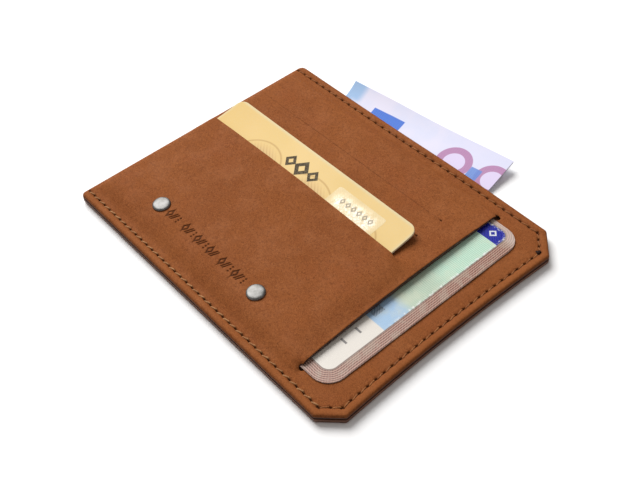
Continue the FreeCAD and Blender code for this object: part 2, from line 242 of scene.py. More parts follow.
def pits(x, y, holes, width):
    """1 at each stitch hole, fading to 0 around it."""
    tree = kdtree.KDTree(len(holes))
    for i, (hx, hy) in enumerate(holes):
        tree.insert((hx, hy, 0.0), i)
    tree.balance()
    near = np.array([tree.find((px, py, 0.0))[2] for px, py in zip(x, y)])
    return bell(near, width)


# ------------------------------------------------------------ front cover's heights over the rim


def id_slit_x(y):
    (x0, y0), (x1, y1) = ID_SLIT
    t = (y - y0) / (y1 - y0)
    return x0 + (x1 - x0) * t + ID_SLIT_BOW * np.sin(math.pi * np.clip(t, 0, 1))


def lip_y(x):
    t = (x - LIP_X[0]) / (LIP_X[1] - LIP_X[0])
    return LIP_Y + LIP_BOW * np.sin(math.pi * np.clip(t, 0, 1))


def anchored(x, y):
    """Distance to where the leather right of the upright slit holds the raised centre down."""
    (x0, y0), (x1, y1) = ID_SLIT
    low = np.where(y < y0 - PUNCH_R, x0 - x, np.hypot(x0 - x, y - y0 + PUNCH_R))
    high = np.where(y > y1 + PUNCH_R, x1 - x, np.hypot(x1 - x, y - y1 - PUNCH_R))
    return np.maximum(np.minimum(low, high), 0.0)


def below_lip(x, y):
    """1 on the pocket's side of the lip, 0 beyond it; sharp along the slit, soft past its ends."""
    past = np.maximum(np.maximum(LIP_X[0] - x, x - LIP_X[1]), 0.0)
    width = 0.7 + 0.85 * past
    step = smooth(0.5 - (y - lip_y(x)) / (2 * width))
    return np.where(past > 0.0, step, (y < lip_y(x)).astype(float))


def leaf_wave(x, y):
    """The front leaf's far edge stands up a little where the note holds it off."""
    return WAVE_LIFT * bell(x - WAVE_MIDDLE, WAVE_REACH) * smooth((y - 87.8) / 7.4)


def lip_lift(x, y):
    """The free lip of the upright slit stands up over the card, most at half its length."""
    (_, y0), (_, y1) = ID_SLIT
    along = np.sin(math.pi * np.clip((y - y0) / (y1 - y0), 0, 1))
    return ID_LIP_LIFT * smooth((x - 84.0) / 18.0) * along * (x <= id_slit_x(y))


def raised(x, y):
    """Rise of the cover over the rim, without the fine detail."""
    fold = (x - FOLD_SLOPE_X) * FOLD_SLOPE
    across = soft_min((y - RIM_Y) * CENTRE_SLOPE, (HEIGHT - RIM_Y - y) * CENTRE_SLOPE, 0.5)
    centre = soft_min(soft_min(across, fold, 0.9), np.full_like(x, CENTRE), 0.9)
    centre = soft_min(centre, anchored(x, y) * 0.8, 0.5)
    foot, top, rise = TOE
    floor = rise + (y - top) * POCKET_RISE
    toe = (y - foot) * rise / (top - foot)
    right = CENTRE + (POCKET_END - x) * (POCKET_TOP - CENTRE) / (POCKET_END - POCKET_RIGHT)
    pocket = soft_min(soft_min(floor, toe, 1.4), fold, 1.2)
    pocket = soft_min(pocket, right, 1.6)
    pocket = pocket + 0.3 * np.sin(math.pi * np.clip((x - 5.0) / 87.0, 0, 1)) * smooth((y - 22.0) / 30.0)
    pocket = np.where(x > POCKET_END, -1.0, pocket)
    share = below_lip(x, y)
    higher = soft_max(centre, pocket, 0.5)
    body = centre + (higher - centre) * share
    body = soft_max(body + lip_lift(x, y), np.zeros_like(x), 0.5)
    return np.where(x > id_slit_x(y), 0.0, body)


def cad_under(x, y):
    """Rise of the CAD cover's underside over the rim's underside."""
    fold = (x - FOLD_SLOPE_X) * FOLD_SLOPE
    across = np.minimum((y - RIM_Y) * CENTRE_SLOPE, (HEIGHT - RIM_Y - y) * CENTRE_SLOPE)
    centre = np.minimum(np.minimum(across, fold), CENTRE)
    foot, top, rise = TOE
    pocket = np.minimum(rise + (y - top) * POCKET_RISE, (y - foot) * rise / (top - foot))
    pocket = np.minimum(pocket, fold)
    pocket = np.where((y < lip_y(x)) & (x < POCKET_RIGHT), pocket, -1.0)
    under = np.maximum(np.maximum(centre, pocket), 0.0)
    return np.where(x > id_slit_x(y), 0.0, under)


# ------------------------------------------------------------ pressed row and rivets


def rivet_places():
    """Middle of each rivet cap, from the CAD caps."""
    caps = np.array([v.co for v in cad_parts["rivet_caps"].data.vertices], float) / MM
    caps -= np.array(START) / MM
    split = caps[:, 0].mean()
    places = []
    for side in (caps[caps[:, 0] < split], caps[caps[:, 0] > split]):
        places.append((side.min(0) + side.max(0)) / 2)
    return places


RIVETS = rivet_places()
CAP_R = 2.95
ROW_GROUPS = (3, 8, 6)             # marks in each group of the pressed row
ROW_PITCH = 2.13
ROW_GAP = 1.9
ROW_START = 5.0                    # first mark, from the left rivet
MARK_HALF = 1.45
STROKE = 0.2
DOT_GAP = 1.0
LOZENGE_HALF = 0.85
BAR_SLANT = 0.35
BAR_GAP = 0.4


def row_marks():
    """Places of the marks along the line between the rivets, with their kind."""
    marks, along = [], ROW_START
    for size in ROW_GROUPS:
        for k in range(size):
            marks.append((along, k % 3))
            along += ROW_PITCH
        along += ROW_GAP
    return marks


def pressed_row(x, y):
    """1 in the pressed marks, 0 outside: lozenges, slanted bars and dots."""
    (ax, ay), (bx, by) = RIVETS[0][:2], RIVETS[1][:2]
    length = math.hypot(bx - ax, by - ay)
    ux, uy = (bx - ax) / length, (by - ay) / length
    along = (x - ax) * ux + (y - ay) * uy
    off = (y - ay) * ux - (x - ax) * uy
    deep = np.zeros_like(x)
    for middle, kind in row_marks():
        u, v = along - middle, off
        if kind == 0:
            gap = np.abs(np.abs(u) / LOZENGE_HALF + np.abs(v) / MARK_HALF - 1.0) * 0.62 - STROKE
        elif kind == 1:
            slanted = np.abs(u - BAR_SLANT * v)
            gap = np.maximum(np.abs(slanted - BAR_GAP), np.abs(v) - MARK_HALF + STROKE) - STROKE
        else:
            middle_dot = np.hypot(u, v)
            end_dots = np.hypot(u, np.abs(v) - DOT_GAP)
            gap = np.minimum(middle_dot, end_dots) - 1.5 * STROKE
        deep = np.maximum(deep, smooth(0.5 - gap / 0.18))
    return deep


def rivet_dent(x, y):
    dent = np.zeros_like(x)
    for rx, ry, _ in RIVETS:
        dent = np.maximum(dent, bell(np.maximum(np.hypot(x - rx, y - ry) - CAP_R, 0), 1.3))
    return dent


# ------------------------------------------------------------ mesh tools


def make_mesh(name, verts, faces, materials, face_slots=None, attributes=None, sharp=50.0):
    """Object from points in millimetres from the fold's lower end."""
    verts = np.asarray(verts, float) * MM + np.array(START)
    mesh = bpy.data.meshes.new(name)
    mesh.from_pydata(verts.tolist(), [], faces)
    for material in materials:
        mesh.materials.append(material)
    if face_slots is not None:
        mesh.polygons.foreach_set("material_index", np.asarray(face_slots, np.int32))
    for key, values in (attributes or {}).items():
        values = np.asarray(values, np.float32)
        kind = "FLOAT_VECTOR" if values.ndim == 2 else "FLOAT"
        field = "vector" if values.ndim == 2 else "value"
        mesh.attributes.new(key, kind, "POINT").data.foreach_set(field, values.ravel())
    mesh.shade_smooth()
    mesh.set_sharp_from_angle(angle=math.radians(sharp))
    mesh.validate()
    obj = bpy.data.objects.new(name, mesh)
    bpy.context.scene.collection.objects.link(obj)
    return obj


def apart(candidates, kept, gap):
    """Those candidates that are further than gap from every kept point."""
    tree = kdtree.KDTree(len(kept))
    for i, (x, y) in enumerate(kept):
        tree.insert((x, y, 0.0), i)
    tree.balance()
    far = [tree.find((x, y, 0.0))[2] > gap for x, y in candidates]
    return candidates[np.array(far, bool)]


def spread(points, gap):
    """Thin out points so that no two are closer than the gap."""
    cells = {}
    for x, y in points:
        cells.setdefault((round(x / gap), round(y / gap)), (x, y))
    return np.array(list(cells.values()))


def grid(x0, x1, y0, y1, step):
    xs = np.linspace(x0, x1, max(2, round((x1 - x0) / step) + 1))
    ys = np.linspace(y0, y1, max(2, round((y1 - y0) / step) + 1))
    gx, gy = np.meshgrid(xs, ys)
    return np.stack((gx.ravel(), gy.ravel()), 1)


def rings(middle, radii, count):
    angles = np.arange(count) * 2 * math.pi / count
    circles = [np.stack((middle[0] + r * np.cos(angles), middle[1] + r * np.sin(angles)), 1) for r in radii]
    return np.concatenate(circles)


def in_loop(x, y, loop):
    """True for points inside a closed loop."""
    inside = np.zeros(x.shape, bool)
    for (ax, ay), (bx, by) in zip(loop, np.roll(loop, -1, 0)):
        if ay == by:
            continue
        crossing = (ay > y) != (by > y)
        inside ^= crossing & (x < (bx - ax) * (y - ay) / (by - ay) + ax)
    return inside


def triangulate(border, holes, points):
    """Flat triangles inside the border loop and outside the holes; all counter-clockwise."""
    loops = [border] + holes
    edges, first = [], 0
    for loop in loops:
        count = len(loop)
        edges += [(first + i, first + (i + 1) % count) for i in range(count)]
        first += count
    cloud = np.concatenate(loops + [points])
    made = geometry.delaunay_2d_cdt([Vector(p) for p in cloud], edges, [], 0, 1e-6)
    flat = np.array([tuple(v) for v in made[0]])
    faces = np.array(made[2])
    middle = flat[faces].mean(1)
    keep = in_loop(middle[:, 0], middle[:, 1], border)
    for hole in holes:
        keep &= ~in_loop(middle[:, 0], middle[:, 1], hole)
    faces = faces[keep]
    a, b, c = (flat[faces[:, i]] for i in range(3))
    turn = (b[:, 0] - a[:, 0]) * (c[:, 1] - a[:, 1]) - (b[:, 1] - a[:, 1]) * (c[:, 0] - a[:, 0])
    faces = faces[np.abs(turn) > 1e-9]
    turn = turn[np.abs(turn) > 1e-9]
    faces[turn < 0] = faces[turn < 0][:, ::-1]
    used, faces = np.unique(faces, return_inverse=True)
    return flat[used], faces.reshape(-1, 3)


def border_edges(faces):
    """Directed edges that only one triangle has."""
    seen = {}
    for a, b, c in faces.tolist():
        for edge in ((a, b), (b, c), (c, a)):
            seen[edge] = True
    return [edge for edge in seen if (edge[1], edge[0]) not in seen]


def shell(flat, faces, top, under, rows, flip):
    """Closed sheet between two surfaces over the same flat triangles, with walls at its borders."""
    count = len(flat)
    verts = [top, under]
    slots = [0] * len(faces) + [2] * len(faces)
    solid = faces.tolist() + (faces[:, ::-1] + count).tolist()
    edges = border_edges(faces)
    border = sorted({v for edge in edges for v in edge})
    levels = [{v: v for v in border}]
    for row in range(1, rows):
        t = row / rows
        first = count * 2 + (row - 1) * len(border)
        verts.append(top[border] * (1 - t) + under[border] * t)
        levels.append({v: first + i for i, v in enumerate(border)})
    levels.append({v: v + count for v in border})
    for upper, lower in zip(levels[:-1], levels[1:]):
        solid += [[upper[b], upper[a], lower[a], lower[b]] for a, b in edges]
        slots += [1] * len(edges)
    if flip:
        solid = [face[::-1] for face in solid]
    return np.concatenate(verts), solid, slots, border


def on_shell(top, under, walls, border):
    """Values for all points of a shell with WALL_ROWS rows of wall faces."""
    return np.concatenate((top, under) + (walls[border],) * (WALL_ROWS - 1))


def wrap(flat, offset):
    """Place a point of the flat layout at an offset over the rim: level over the leaf, then round
    the fold and down its outer wall."""
    x, y = flat[:, 0], flat[:, 1]
    past = np.maximum(FOLD_R - x, 0.0)
    turn = np.minimum(past / FOLD_R, math.pi / 2)
    drop = np.maximum(past - FOLD_R * math.pi / 2, 0.0)
    radius = FOLD_R + offset
    px = np.where(past > 0, FOLD_R - radius * np.sin(turn), x - hollow(x, y))
    pz = np.where(past > 0, Z_PIVOT + radius * np.cos(turn) - drop, Z_RIM + offset)
    low, high = FOLD_CORNERS
    low_cut = low - np.sqrt(low ** 2 - np.maximum(low - np.maximum(px, 0), 0) ** 2)
    high_cut = high - np.sqrt(high ** 2 - np.maximum(high - np.maximum(px, 0), 0) ** 2)
    py = y + low_cut * np.clip(1 - y / 12.0, 0, 1) - high_cut * np.clip(1 - (HEIGHT - y) / 12.0, 0, 1)
    return np.stack((px, py, pz), 1)


EDGE_RINGS = (0.05, 0.13, 0.25, 0.42, 0.7, 1.1, 1.6, 2.1, 2.4, 2.6, 2.8, 3.0, 3.2, 3.6, 4.2, 4.9, 5.7)
EDGE_STEP = 0.85
WALL_ROWS = 3
BACK_PATTERN = 200.0               # shifts the back leather's pattern away from the front's
FOLD_COLUMNS = (-1.1, -0.75, -0.5, -0.25, 0.0, 0.25, 0.5, 0.75, 1.0, 1.35, 1.7, 2.1, 2.5, 2.9, 3.4, 3.9)


def edge_points():
    """Points on lines that follow the leaf's edge, and on lines along the fold."""
    lines = [outline(d, EDGE_STEP)[1:-1] for d in EDGE_RINGS]
    rows = np.arange(6.4, HEIGHT - 6.4, EDGE_STEP * 1.3)
    lines += [np.stack((np.full_like(rows, x), rows), 1) for x in FOLD_COLUMNS]
    return np.concatenate(lines)


def leaf_border():
    """Closed outline of a leaf in the flat layout, with points down the fold's side."""
    side = np.arange(HEIGHT - 6.4, 6.0, -EDGE_STEP * 1.3)
    down = [HEIGHT - d for d in EDGE_RINGS] + side.tolist() + list(EDGE_RINGS[::-1])
    return np.concatenate((outline(0.0, EDGE_STEP), np.array([(LAYOUT_START, y) for y in down])))


# ------------------------------------------------------------ front cover


def lens_loop(x0, x1, middle_y, half):
    """Thin pointed slit along x; middle_y gives its middle line."""
    xs = np.linspace(x0, x1, round((x1 - x0) / 0.7))
    t = (xs - x0) / (x1 - x0)
    width = half * np.clip(np.minimum(t, 1 - t) * 12, 0, 1) ** 0.6
    mid = middle_y(xs)
    low = np.stack((xs[1:-1], mid[1:-1] - width[1:-1]), 1)
    high = np.stack((xs[::-1], mid[::-1] + width[::-1]), 1)
    return np.concatenate((high, low))


def id_slit_loop(half):
    """The upright slit with its round punched ends."""
    (x0, y0), (x1, y1) = ID_SLIT
    bite = math.asin(half / PUNCH_R)
    ys = np.linspace(y0 + PUNCH_R * math.cos(bite), y1 - PUNCH_R * math.cos(bite), 116)
    right = np.stack((id_slit_x(ys) + half, ys), 1)
    left = np.stack((id_slit_x(ys) - half, ys), 1)[::-1]
    angles = np.linspace(bite, 2 * math.pi - bite, 17)[1:-1]
    low = np.stack((x0 - PUNCH_R * np.sin(angles), y0 + PUNCH_R * np.cos(angles)), 1)
    high = np.stack((x1 + PUNCH_R * np.sin(angles), y1 - PUNCH_R * np.cos(angles)), 1)
    return np.concatenate((right, high, left, low))


def beside(line, offsets):
    return np.concatenate([line + np.array(o) for o in offsets])


def fill(border, holes, batches, lines, step):
    """Flat points of a leaf: batches in turn, each with its least gap to what is there and its least
    gap to itself, then the lines, then an even field."""
    loops = np.concatenate([border] + holes)
    free = np.zeros((0, 2))
    for batch, gap, own_gap in batches:
        batch = spread(apart(batch, np.concatenate((loops, free)), gap), own_gap)
        free = np.concatenate((free, batch))
    free = np.concatenate((free, apart(lines, np.concatenate((loops, free)), 0.2)))
    field = grid(4.6, WIDTH - 4.2, 6.0, HEIGHT - 6.0, step)
    free = np.concatenate((free, apart(field, np.concatenate((loops, free)), 0.55 * step)))
    free = free[(inward(free[:, 0], free[:, 1]) > 0.02) & (free[:, 0] > LAYOUT_START + 0.02)]
    for hole in holes:
        free = free[~in_loop(free[:, 0], free[:, 1], hole)]
    return free


def hole_points(names):
    return np.concatenate([rings(p, (0.001, 0.15, 0.3, 0.48), 8)[7:] for p in all_holes(names)])


def front_layout():
    border = leaf_border()
    holes = [lens_loop(x0, x1, lambda x, y=y: np.full_like(x, y), 0.02) for y, x0, x1 in SLITS]
    holes.append(lens_loop(LIP_X[0], LIP_X[1], lip_y, 0.1))
    holes.append(id_slit_loop(0.12))
    eyes = [rings(p, (0.001, 0.15, 0.3, 0.5, 0.75), 10)[9:] for p in SLIT_EYES + (KNOT,)]
    xs = np.arange(LIP_X[0] - 2, LIP_X[1] + 3, 0.7)
    ys = np.arange(ID_SLIT[0][1] - 2, ID_SLIT[1][1] + 2, 0.7)
    aside = [s * d for d in (0.22, 0.4, 0.7, 1.1) for s in (-1, 1)]
    fine = [beside(np.stack((xs, np.full_like(xs, y)), 1), [(0, d) for d in aside]) for y, _, _ in SLITS]
    fine.append(beside(np.stack((xs, lip_y(xs)), 1), [(0, d) for d in aside]))
    fine.append(beside(np.stack((id_slit_x(ys), ys), 1), [(d, 0) for d in aside]))
    fine += [rings((rx, ry), (2.0, 2.6, 2.95, 3.2, 3.6, 4.2), 28) for rx, ry, _ in RIVETS]
    (ax, ay), (bx, by) = RIVETS[0][:2], RIVETS[1][:2]
    row = grid(ax + ROW_START - 1.2, bx - 3.0, -1.75, 1.75, 0.17)
    row[:, 1] += ay + (row[:, 0] - ax) * (by - ay) / (bx - ax)
    punches = np.concatenate([hole_points(RUN_PITCH)] + eyes)
    batches = ((punches, 0.09, 0.09), (np.concatenate(fine + [row]), 0.12, 0.12))
    lines = apart(edge_points(), np.concatenate([border] + holes + [punches]), 0.12)
    return border, holes, fill(border, holes, batches, lines, 1.0)


def edge_round(distance, radius):
    """How far a rounded edge has dropped at a distance from the cut."""
    t = np.clip(distance, 0.0, radius)
    return radius - np.sqrt(np.maximum(radius ** 2 - (radius - t) ** 2, 0.0))


def closed_slits(x, y):
    """Distance to the nearer of the two empty slits."""
    near = np.full_like(x, 1e9)
    for sy, x0, x1 in SLITS:
        near = np.minimum(near, path_distance(x, y, [(x0, sy), (x1, sy)]))
    return near


def lips(x, y):
    """Distance to the nearer of the two slits that hold a card."""
    dx = np.maximum(np.maximum(LIP_X[0] - x, x - LIP_X[1]), 0)
    near = np.hypot(dx, y - lip_y(x))
    (x0, y0), (x1, y1) = ID_SLIT
    dy = np.maximum(np.maximum(y0 - y, y - y1), 0)
    upright = np.hypot(x - id_slit_x(y), dy)
    upright = np.minimum(upright, np.abs(np.hypot(x - x0, y - y0) - PUNCH_R) + 0.12)
    upright = np.minimum(upright, np.abs(np.hypot(x - x1, y - y1) - PUNCH_R) + 0.12)
    return np.minimum(near, upright)


def margin_detail(x, y, names):
    """Distance from the leaf's edge, and how far each point is in a stitch hole or in the groove."""
    order = [list(RUN_PITCH).index(name) for name in names]
    line = path_distance(x, y, stitch_corners()[min(order):max(order) + 2])
    return inward(x, y), pits(x, y, all_holes(names), HOLE_WIDTH), bell(line, 0.42)


def leather_marks(x, y, top, dark, wear_and_highlight, border):
    """Places the pattern is fixed to, how dark each point of a cover is (pressing, edge dye, and painted
    shade in holes, grooves and cuts), and how much wear and painted highlight lighten it.
    """
    place = np.stack((x, y, top), 1)
    zero = np.zeros_like(x)
    return {"rest": on_shell(place, place - np.array((0, 0, 1.0)), place, border),
            "dark": on_shell(dark, zero, zero, border), "wear_and_highlight": on_shell(wear_and_highlight, zero, zero, border)}


def make_front_cover(materials):
    border, holes, free = front_layout()
    flat, faces = triangulate(border, holes, free)
    x, y = flat[:, 0], flat[:, 1]
    edge, punched, groove = margin_detail(x, y, list(RUN_PITCH))
    leaf = smooth(x - FOLD_R)
    calm = smooth((edge - 4.0) / 5.0) * leaf
    groove = groove * leaf
    pressed = pressed_row(x, y)
    slit = lips(x, y) - 0.1
    shut = closed_slits(x, y) - 0.02
    eyes = pits(x, y, np.array(SLIT_EYES), 0.3)
    tied = pits(x, y, np.array([KNOT]), 0.55)

    top = (raised(x, y) + leaf_wave(x, y)) * leaf
    top += 0.11 * ripple(x, y, 31.0, 0.7) * calm + 0.035 * ripple(x, y, 9.0, 2.1) * calm
    top += (0.12 - 0.1 * smooth((x - 101.0) / 4.0)) * bell(edge - 1.5, 0.8) * leaf
    top -= 0.12 * bell(edge - 3.9, 0.8) * leaf
    top -= GROOVE * groove + HOLE_DEPTH * punched + ROW_DEPTH * pressed + DENT_DEPTH * rivet_dent(x, y)
    top += 0.05 * bell(shut, 1.2) - 0.5 * eyes - 0.2 * tied
    top -= edge_round(edge, EDGE_ROUND) + edge_round(np.maximum(slit, 0), 0.24)
    top -= edge_round(np.maximum(shut, 0), 0.1)
    under = (cad_under(x, y) + ID_LIP_GAP * lip_lift(x, y) + leaf_wave(x, y)) * leaf
    under -= FOLD_LEATHER + (LEATHER - FOLD_LEATHER) * leaf
    under = np.minimum(under, top - 0.45 + 0.3 * bell(edge, 0.4))

    verts, solid, slots, cut = shell(flat, faces, wrap(flat, top), wrap(flat, under), WALL_ROWS, False)
    # Darker: the pressed marks, the dyed cut edge and round the knot; painted shade in the stitch holes, the
    # slit-end holes, the stitch groove and along the closed slits.
    dark = pressed * 0.9 + 1.3 * punched + 1.2 * eyes + 0.7 * tied + 0.12 * groove
    dark = np.clip(dark + 0.1 * bell(shut, 0.2) + 0.6 * bell(edge, 0.35) * leaf, 0, 1)
    # Lighter along the rounded margin of the near sides and along the slit lips: edge wear with a painted
    # highlight; near_side keeps it off the far edge.
    near_side = 1 - 0.8 * smooth((y - 84.0) / 6.0)
    wear_and_highlight = 0.7 * bell(edge - 1.4, 0.7) * leaf * near_side + 0.6 * bell(slit - 0.1, 0.3) * leaf
    return make_mesh("front_cover", verts, solid, materials, slots,
                     leather_marks(x, y, top, dark, np.clip(wear_and_highlight, 0, 1), cut), 55.0)


# ------------------------------------------------------------ back cover and lining


def make_back_cover(materials):
    names = ["bottom", "near", "side", "far"]
    border = leaf_border()
    free = fill(border, [], ((hole_points(names), 0.09, 0.1),), edge_points(), 1.8)
    flat, faces = triangulate(border, [], free)
    x, y = flat[:, 0], flat[:, 1]
    edge, punched, groove = margin_detail(x, y, names)
    leaf = smooth(x - FOLD_R)
    calm = smooth((edge - 4.0) / 5.0) * leaf
    groove = groove * leaf
    top = -0.07 - 0.05 * ripple(x, y, 37.0, 1.9) * calm - 0.22 * groove - 0.45 * punched
    top = np.minimum(top - edge_round(edge, 0.6), -0.01)
    under = np.minimum(-(FOLD_LEATHER + (LEATHER - FOLD_LEATHER) * leaf), top - 0.3)
    upper, lower = wrap(flat, top), wrap(flat, under)
    for surface in (upper, lower):
        surface[:, 2] = Z_RIM - surface[:, 2]
    verts, solid, slots, cut = shell(flat, faces, upper, lower, WALL_ROWS, True)
    # Darker: the dyed cut edge, and painted shade in the stitch holes and the stitch groove.
    dark = np.clip(1.3 * punched + 0.12 * groove + 0.6 * bell(edge, 0.35) * leaf, 0, 1)
    # Lighter along the edge: wear with a painted highlight.
    wear_and_highlight = bell(edge - 0.45, 0.5) * leaf
    return make_mesh("back_cover", verts, solid, materials, slots,
                     leather_marks(x + BACK_PATTERN, y, top, dark, wear_and_highlight, cut), 55.0)


def make_front_lining(materials):
    """Thin lining that follows the front leaf's wave."""
    low, high = span("front_lining")
    inset, step = 0.06, 1.6
    edge = outline(inset, step, WIDTH - inset)
    edge = edge[edge[:, 0] > low[0] + 0.3]
    side = [(low[0], y) for y in np.arange(HEIGHT - 2.0, 1.0, -2.0)]
    border = np.concatenate(([(low[0], inset)], edge, [(low[0], HEIGHT - inset)], side))
    ringed = np.concatenate([outline(d, step) for d in (0.12, 0.3, 0.7, 2.0)])
    free = apart(ringed[ringed[:, 0] > low[0] + 0.5], border, 0.05)
    field = grid(low[0] + 2, WIDTH - 3, 3, HEIGHT - 3, 2.6)
    free = np.concatenate((free, apart(field, np.concatenate((border, free)), 1.2)))
    free = free[inward(free[:, 0], free[:, 1]) > inset + 0.04]
    flat, faces = triangulate(border, [], free)
    x, y = flat[:, 0], flat[:, 1]
    wave, drawn = leaf_wave(x, y), x - hollow(x, y)
    upper = np.stack((drawn, y, high[2] + wave - 0.01), 1)
    lower = np.stack((drawn, y, low[2] + wave + edge_round(inward(x, y) - inset, 0.25)), 1)
    verts, solid, slots, _ = shell(flat, faces, upper, lower, 1, False)
    return make_mesh("front_leaf_lining", verts, solid, materials, slots, {}, 55.0)


# ------------------------------------------------------------ threads


def tube(sections, around, order=(0, 1, 2, 3)):
    """Faces between rings of points; order says where each starts and which way round it runs."""
    faces = []
    for i in range(0, (sections - 1) * around, around):
        for k in range(around):
            n = (k + 1) % around
            corners = (i + k, i + n, i + around + n, i + around + k)
            faces.append([corners[c] for c in order])
    return faces


def stitch(a, b, slant, thick, seed):
    """One two-ply stitch from hole to hole, as points (x, y, height over its leather) and faces."""
    a, b = np.array(a), np.array(b)
    length = np.hypot(*(b - a))
    along = (b - a) / length
    side = np.array((-along[1], along[0]))
    sections, around = 11, 10
    verts = []
    for i in range(sections):
        t = i / (sections - 1)
        dive = abs(2 * t - 1) ** 7
        centre = a + along * length * (0.09 + 0.82 * t) + side * slant * (2 * t - 1)
        lift = thick * 0.45 - 0.4 * dive
        for k in range(around):
            angle = 2 * math.pi * k / around
            ply = 1 + 0.13 * math.cos(2 * angle - 3.0 * t * length + seed)
            radius = thick * ply * (1 - 0.25 * dive)
            p = centre + side * radius * math.cos(angle)
            verts.append((p[0], p[1], radius * 0.75 * math.sin(angle) + lift))
    ends = [list(range(around))[::-1], [(sections - 1) * around + k for k in range(around)]]
    return verts, tube(sections, around) + ends


def knot(x, y, size, seed):
    """Small melted blob where a thread ends."""
    verts, around, rows = [], 10, 6
    for i in range(rows + 1):
        polar = math.pi * i / rows
        for k in range(around):
            angle = 2 * math.pi * k / around
            uneven = 1 + 0.22 * math.sin(3 * angle + seed) * math.sin(polar)
            verts.append((x + size * uneven * math.sin(polar) * math.cos(angle),
                          y + size * 0.8 * uneven * math.sin(polar) * math.sin(angle),
                          size * 0.3 * math.cos(polar) + KNOT_LIFT))
    return verts, tube(rows + 1, around, (0, 3, 2, 1))


def join(parts):
    verts, faces = [], []
    for points, polygons in parts:
        first = len(verts)
        verts += list(points)
        faces += [[first + i for i in face] for face in polygons]
    return verts, faces


def lay(parts, height, out):
    """Put stitches on a surface: height gives it, out is 1 for upwards and -1 for downwards."""
    verts, faces = join(parts)
    verts = np.array(verts)
    verts[:, 2] = height(verts[:, 0], verts[:, 1]) + out * verts[:, 2]
    verts[:, 0] -= hollow(verts[:, 0], verts[:, 1])
    return verts.tolist(), faces if out > 0 else [face[::-1] for face in faces]


def front_outer(x, y):
    return Z_RIM - GROOVE + leaf_wave(x, y)


def front_inner(x, y):
    return span("front_lining")[0][2] + leaf_wave(x, y) + 0.1


def back_outer(x, y):
    return np.full_like(x, GROOVE + 0.07)


def back_inner(x, y):
    return np.full_like(x, span("back_lining")[1][2] - 0.1)


def make_threads(name, names, outer, inner, up, knots, material):
    runs = stitch_runs()
    rng = np.random.default_rng(len(name) * 7 + 3)
    outside, inside = [], []
    for run in names:
        holes = runs[run]
        for a, b in zip(holes[:-1], holes[1:]):
            slant = THREAD_SLANT.get(run, 0.26) + 0.04 * rng.standard_normal()
            thick = THREAD_R.get(run, TIGHT_R) if up == UP else TIGHT_R
            outside.append(stitch(a, b, slant, thick, rng.random() * 6))
            inside.append(stitch(a, b, -0.2 + 0.04 * rng.standard_normal(), 0.22, rng.random() * 6))
    outside += [knot(x, y, size, rng.random() * 6) for x, y, size in knots]
    verts, faces = join([lay(outside, outer, up), lay(inside, inner, -up)])
    return make_mesh(name, verts, faces, [material], sharp=70.0)


# ------------------------------------------------------------ rivets


CAP_PROFILE = ((0.0, 0.8), (0.6, 0.797), (1.2, 0.782), (1.7, 0.752), (2.1, 0.708), (2.4, 0.65),
               (2.6, 0.58), (2.75, 0.48), (2.86, 0.35), (2.93, 0.2), (2.95, 0.05), (2.93, -0.06),
               (2.84, -0.11), (2.6, -0.12), (0.0, -0.12))      # radius and height, crown to underside


def make_rivet_caps(material):
    """Pressed domed caps with a rolled rim, tilted with the leather."""
    lean, around = math.atan(POCKET_RISE), 56
    parts = []
    for rx, ry, _ in RIVETS:
        base = span("rivet_caps")[0][2] + (ry - RIVETS[1][1]) * POCKET_RISE + CAP_R * math.sin(lean) + 0.02
        verts = []
        for r, h in CAP_PROFILE:
            for k in range(around):
                angle = 2 * math.pi * k / around
                px, py = r * math.cos(angle), r * math.sin(angle)
                verts.append((rx + px, ry + py * math.cos(lean) - h * math.sin(lean),
                              base + h * math.cos(lean) + py * math.sin(lean)))
        parts.append((verts, tube(len(CAP_PROFILE), around, (1, 0, 3, 2))))
    verts, faces = join(parts)
    return make_mesh("rivet_dome_caps", verts, faces, [material], sharp=60.0)


# ------------------------------------------------------------ cards and note


def rounded_rectangle(width, length, radius, inset, step):
    """Closed loop inside a rounded rectangle, counter-clockwise."""
    bend = max(radius - inset, 0.02)
    middles = ((width - radius, radius, -90), (width - radius, length - radius, 0),
               (radius, length - radius, 90), (radius, radius, 180))
    corners = []
    for mx, my, start in middles:
        for k in range(7):
            angle = math.radians(start + 15 * k)
            corners.append((mx + bend * math.cos(angle), my + bend * math.sin(angle)))
    points = []
    for (ax, ay), (bx, by) in zip(corners, corners[1:] + corners[:1]):
        count = max(1, round(math.hypot(bx - ax, by - ay) / step))
        points += [(ax + (bx - ax) * k / count, ay + (by - ay) * k / count) for k in range(count)]
    return np.array(points)


def inside_rectangle(x, y, width, length, radius):
    qx = np.abs(x - width / 2) - (width / 2 - radius)
    qy = np.abs(y - length / 2) - (length / 2 - radius)
    outside = np.hypot(np.maximum(qx, 0), np.maximum(qy, 0)) + np.minimum(np.maximum(qx, qy), 0)
    return radius - outside


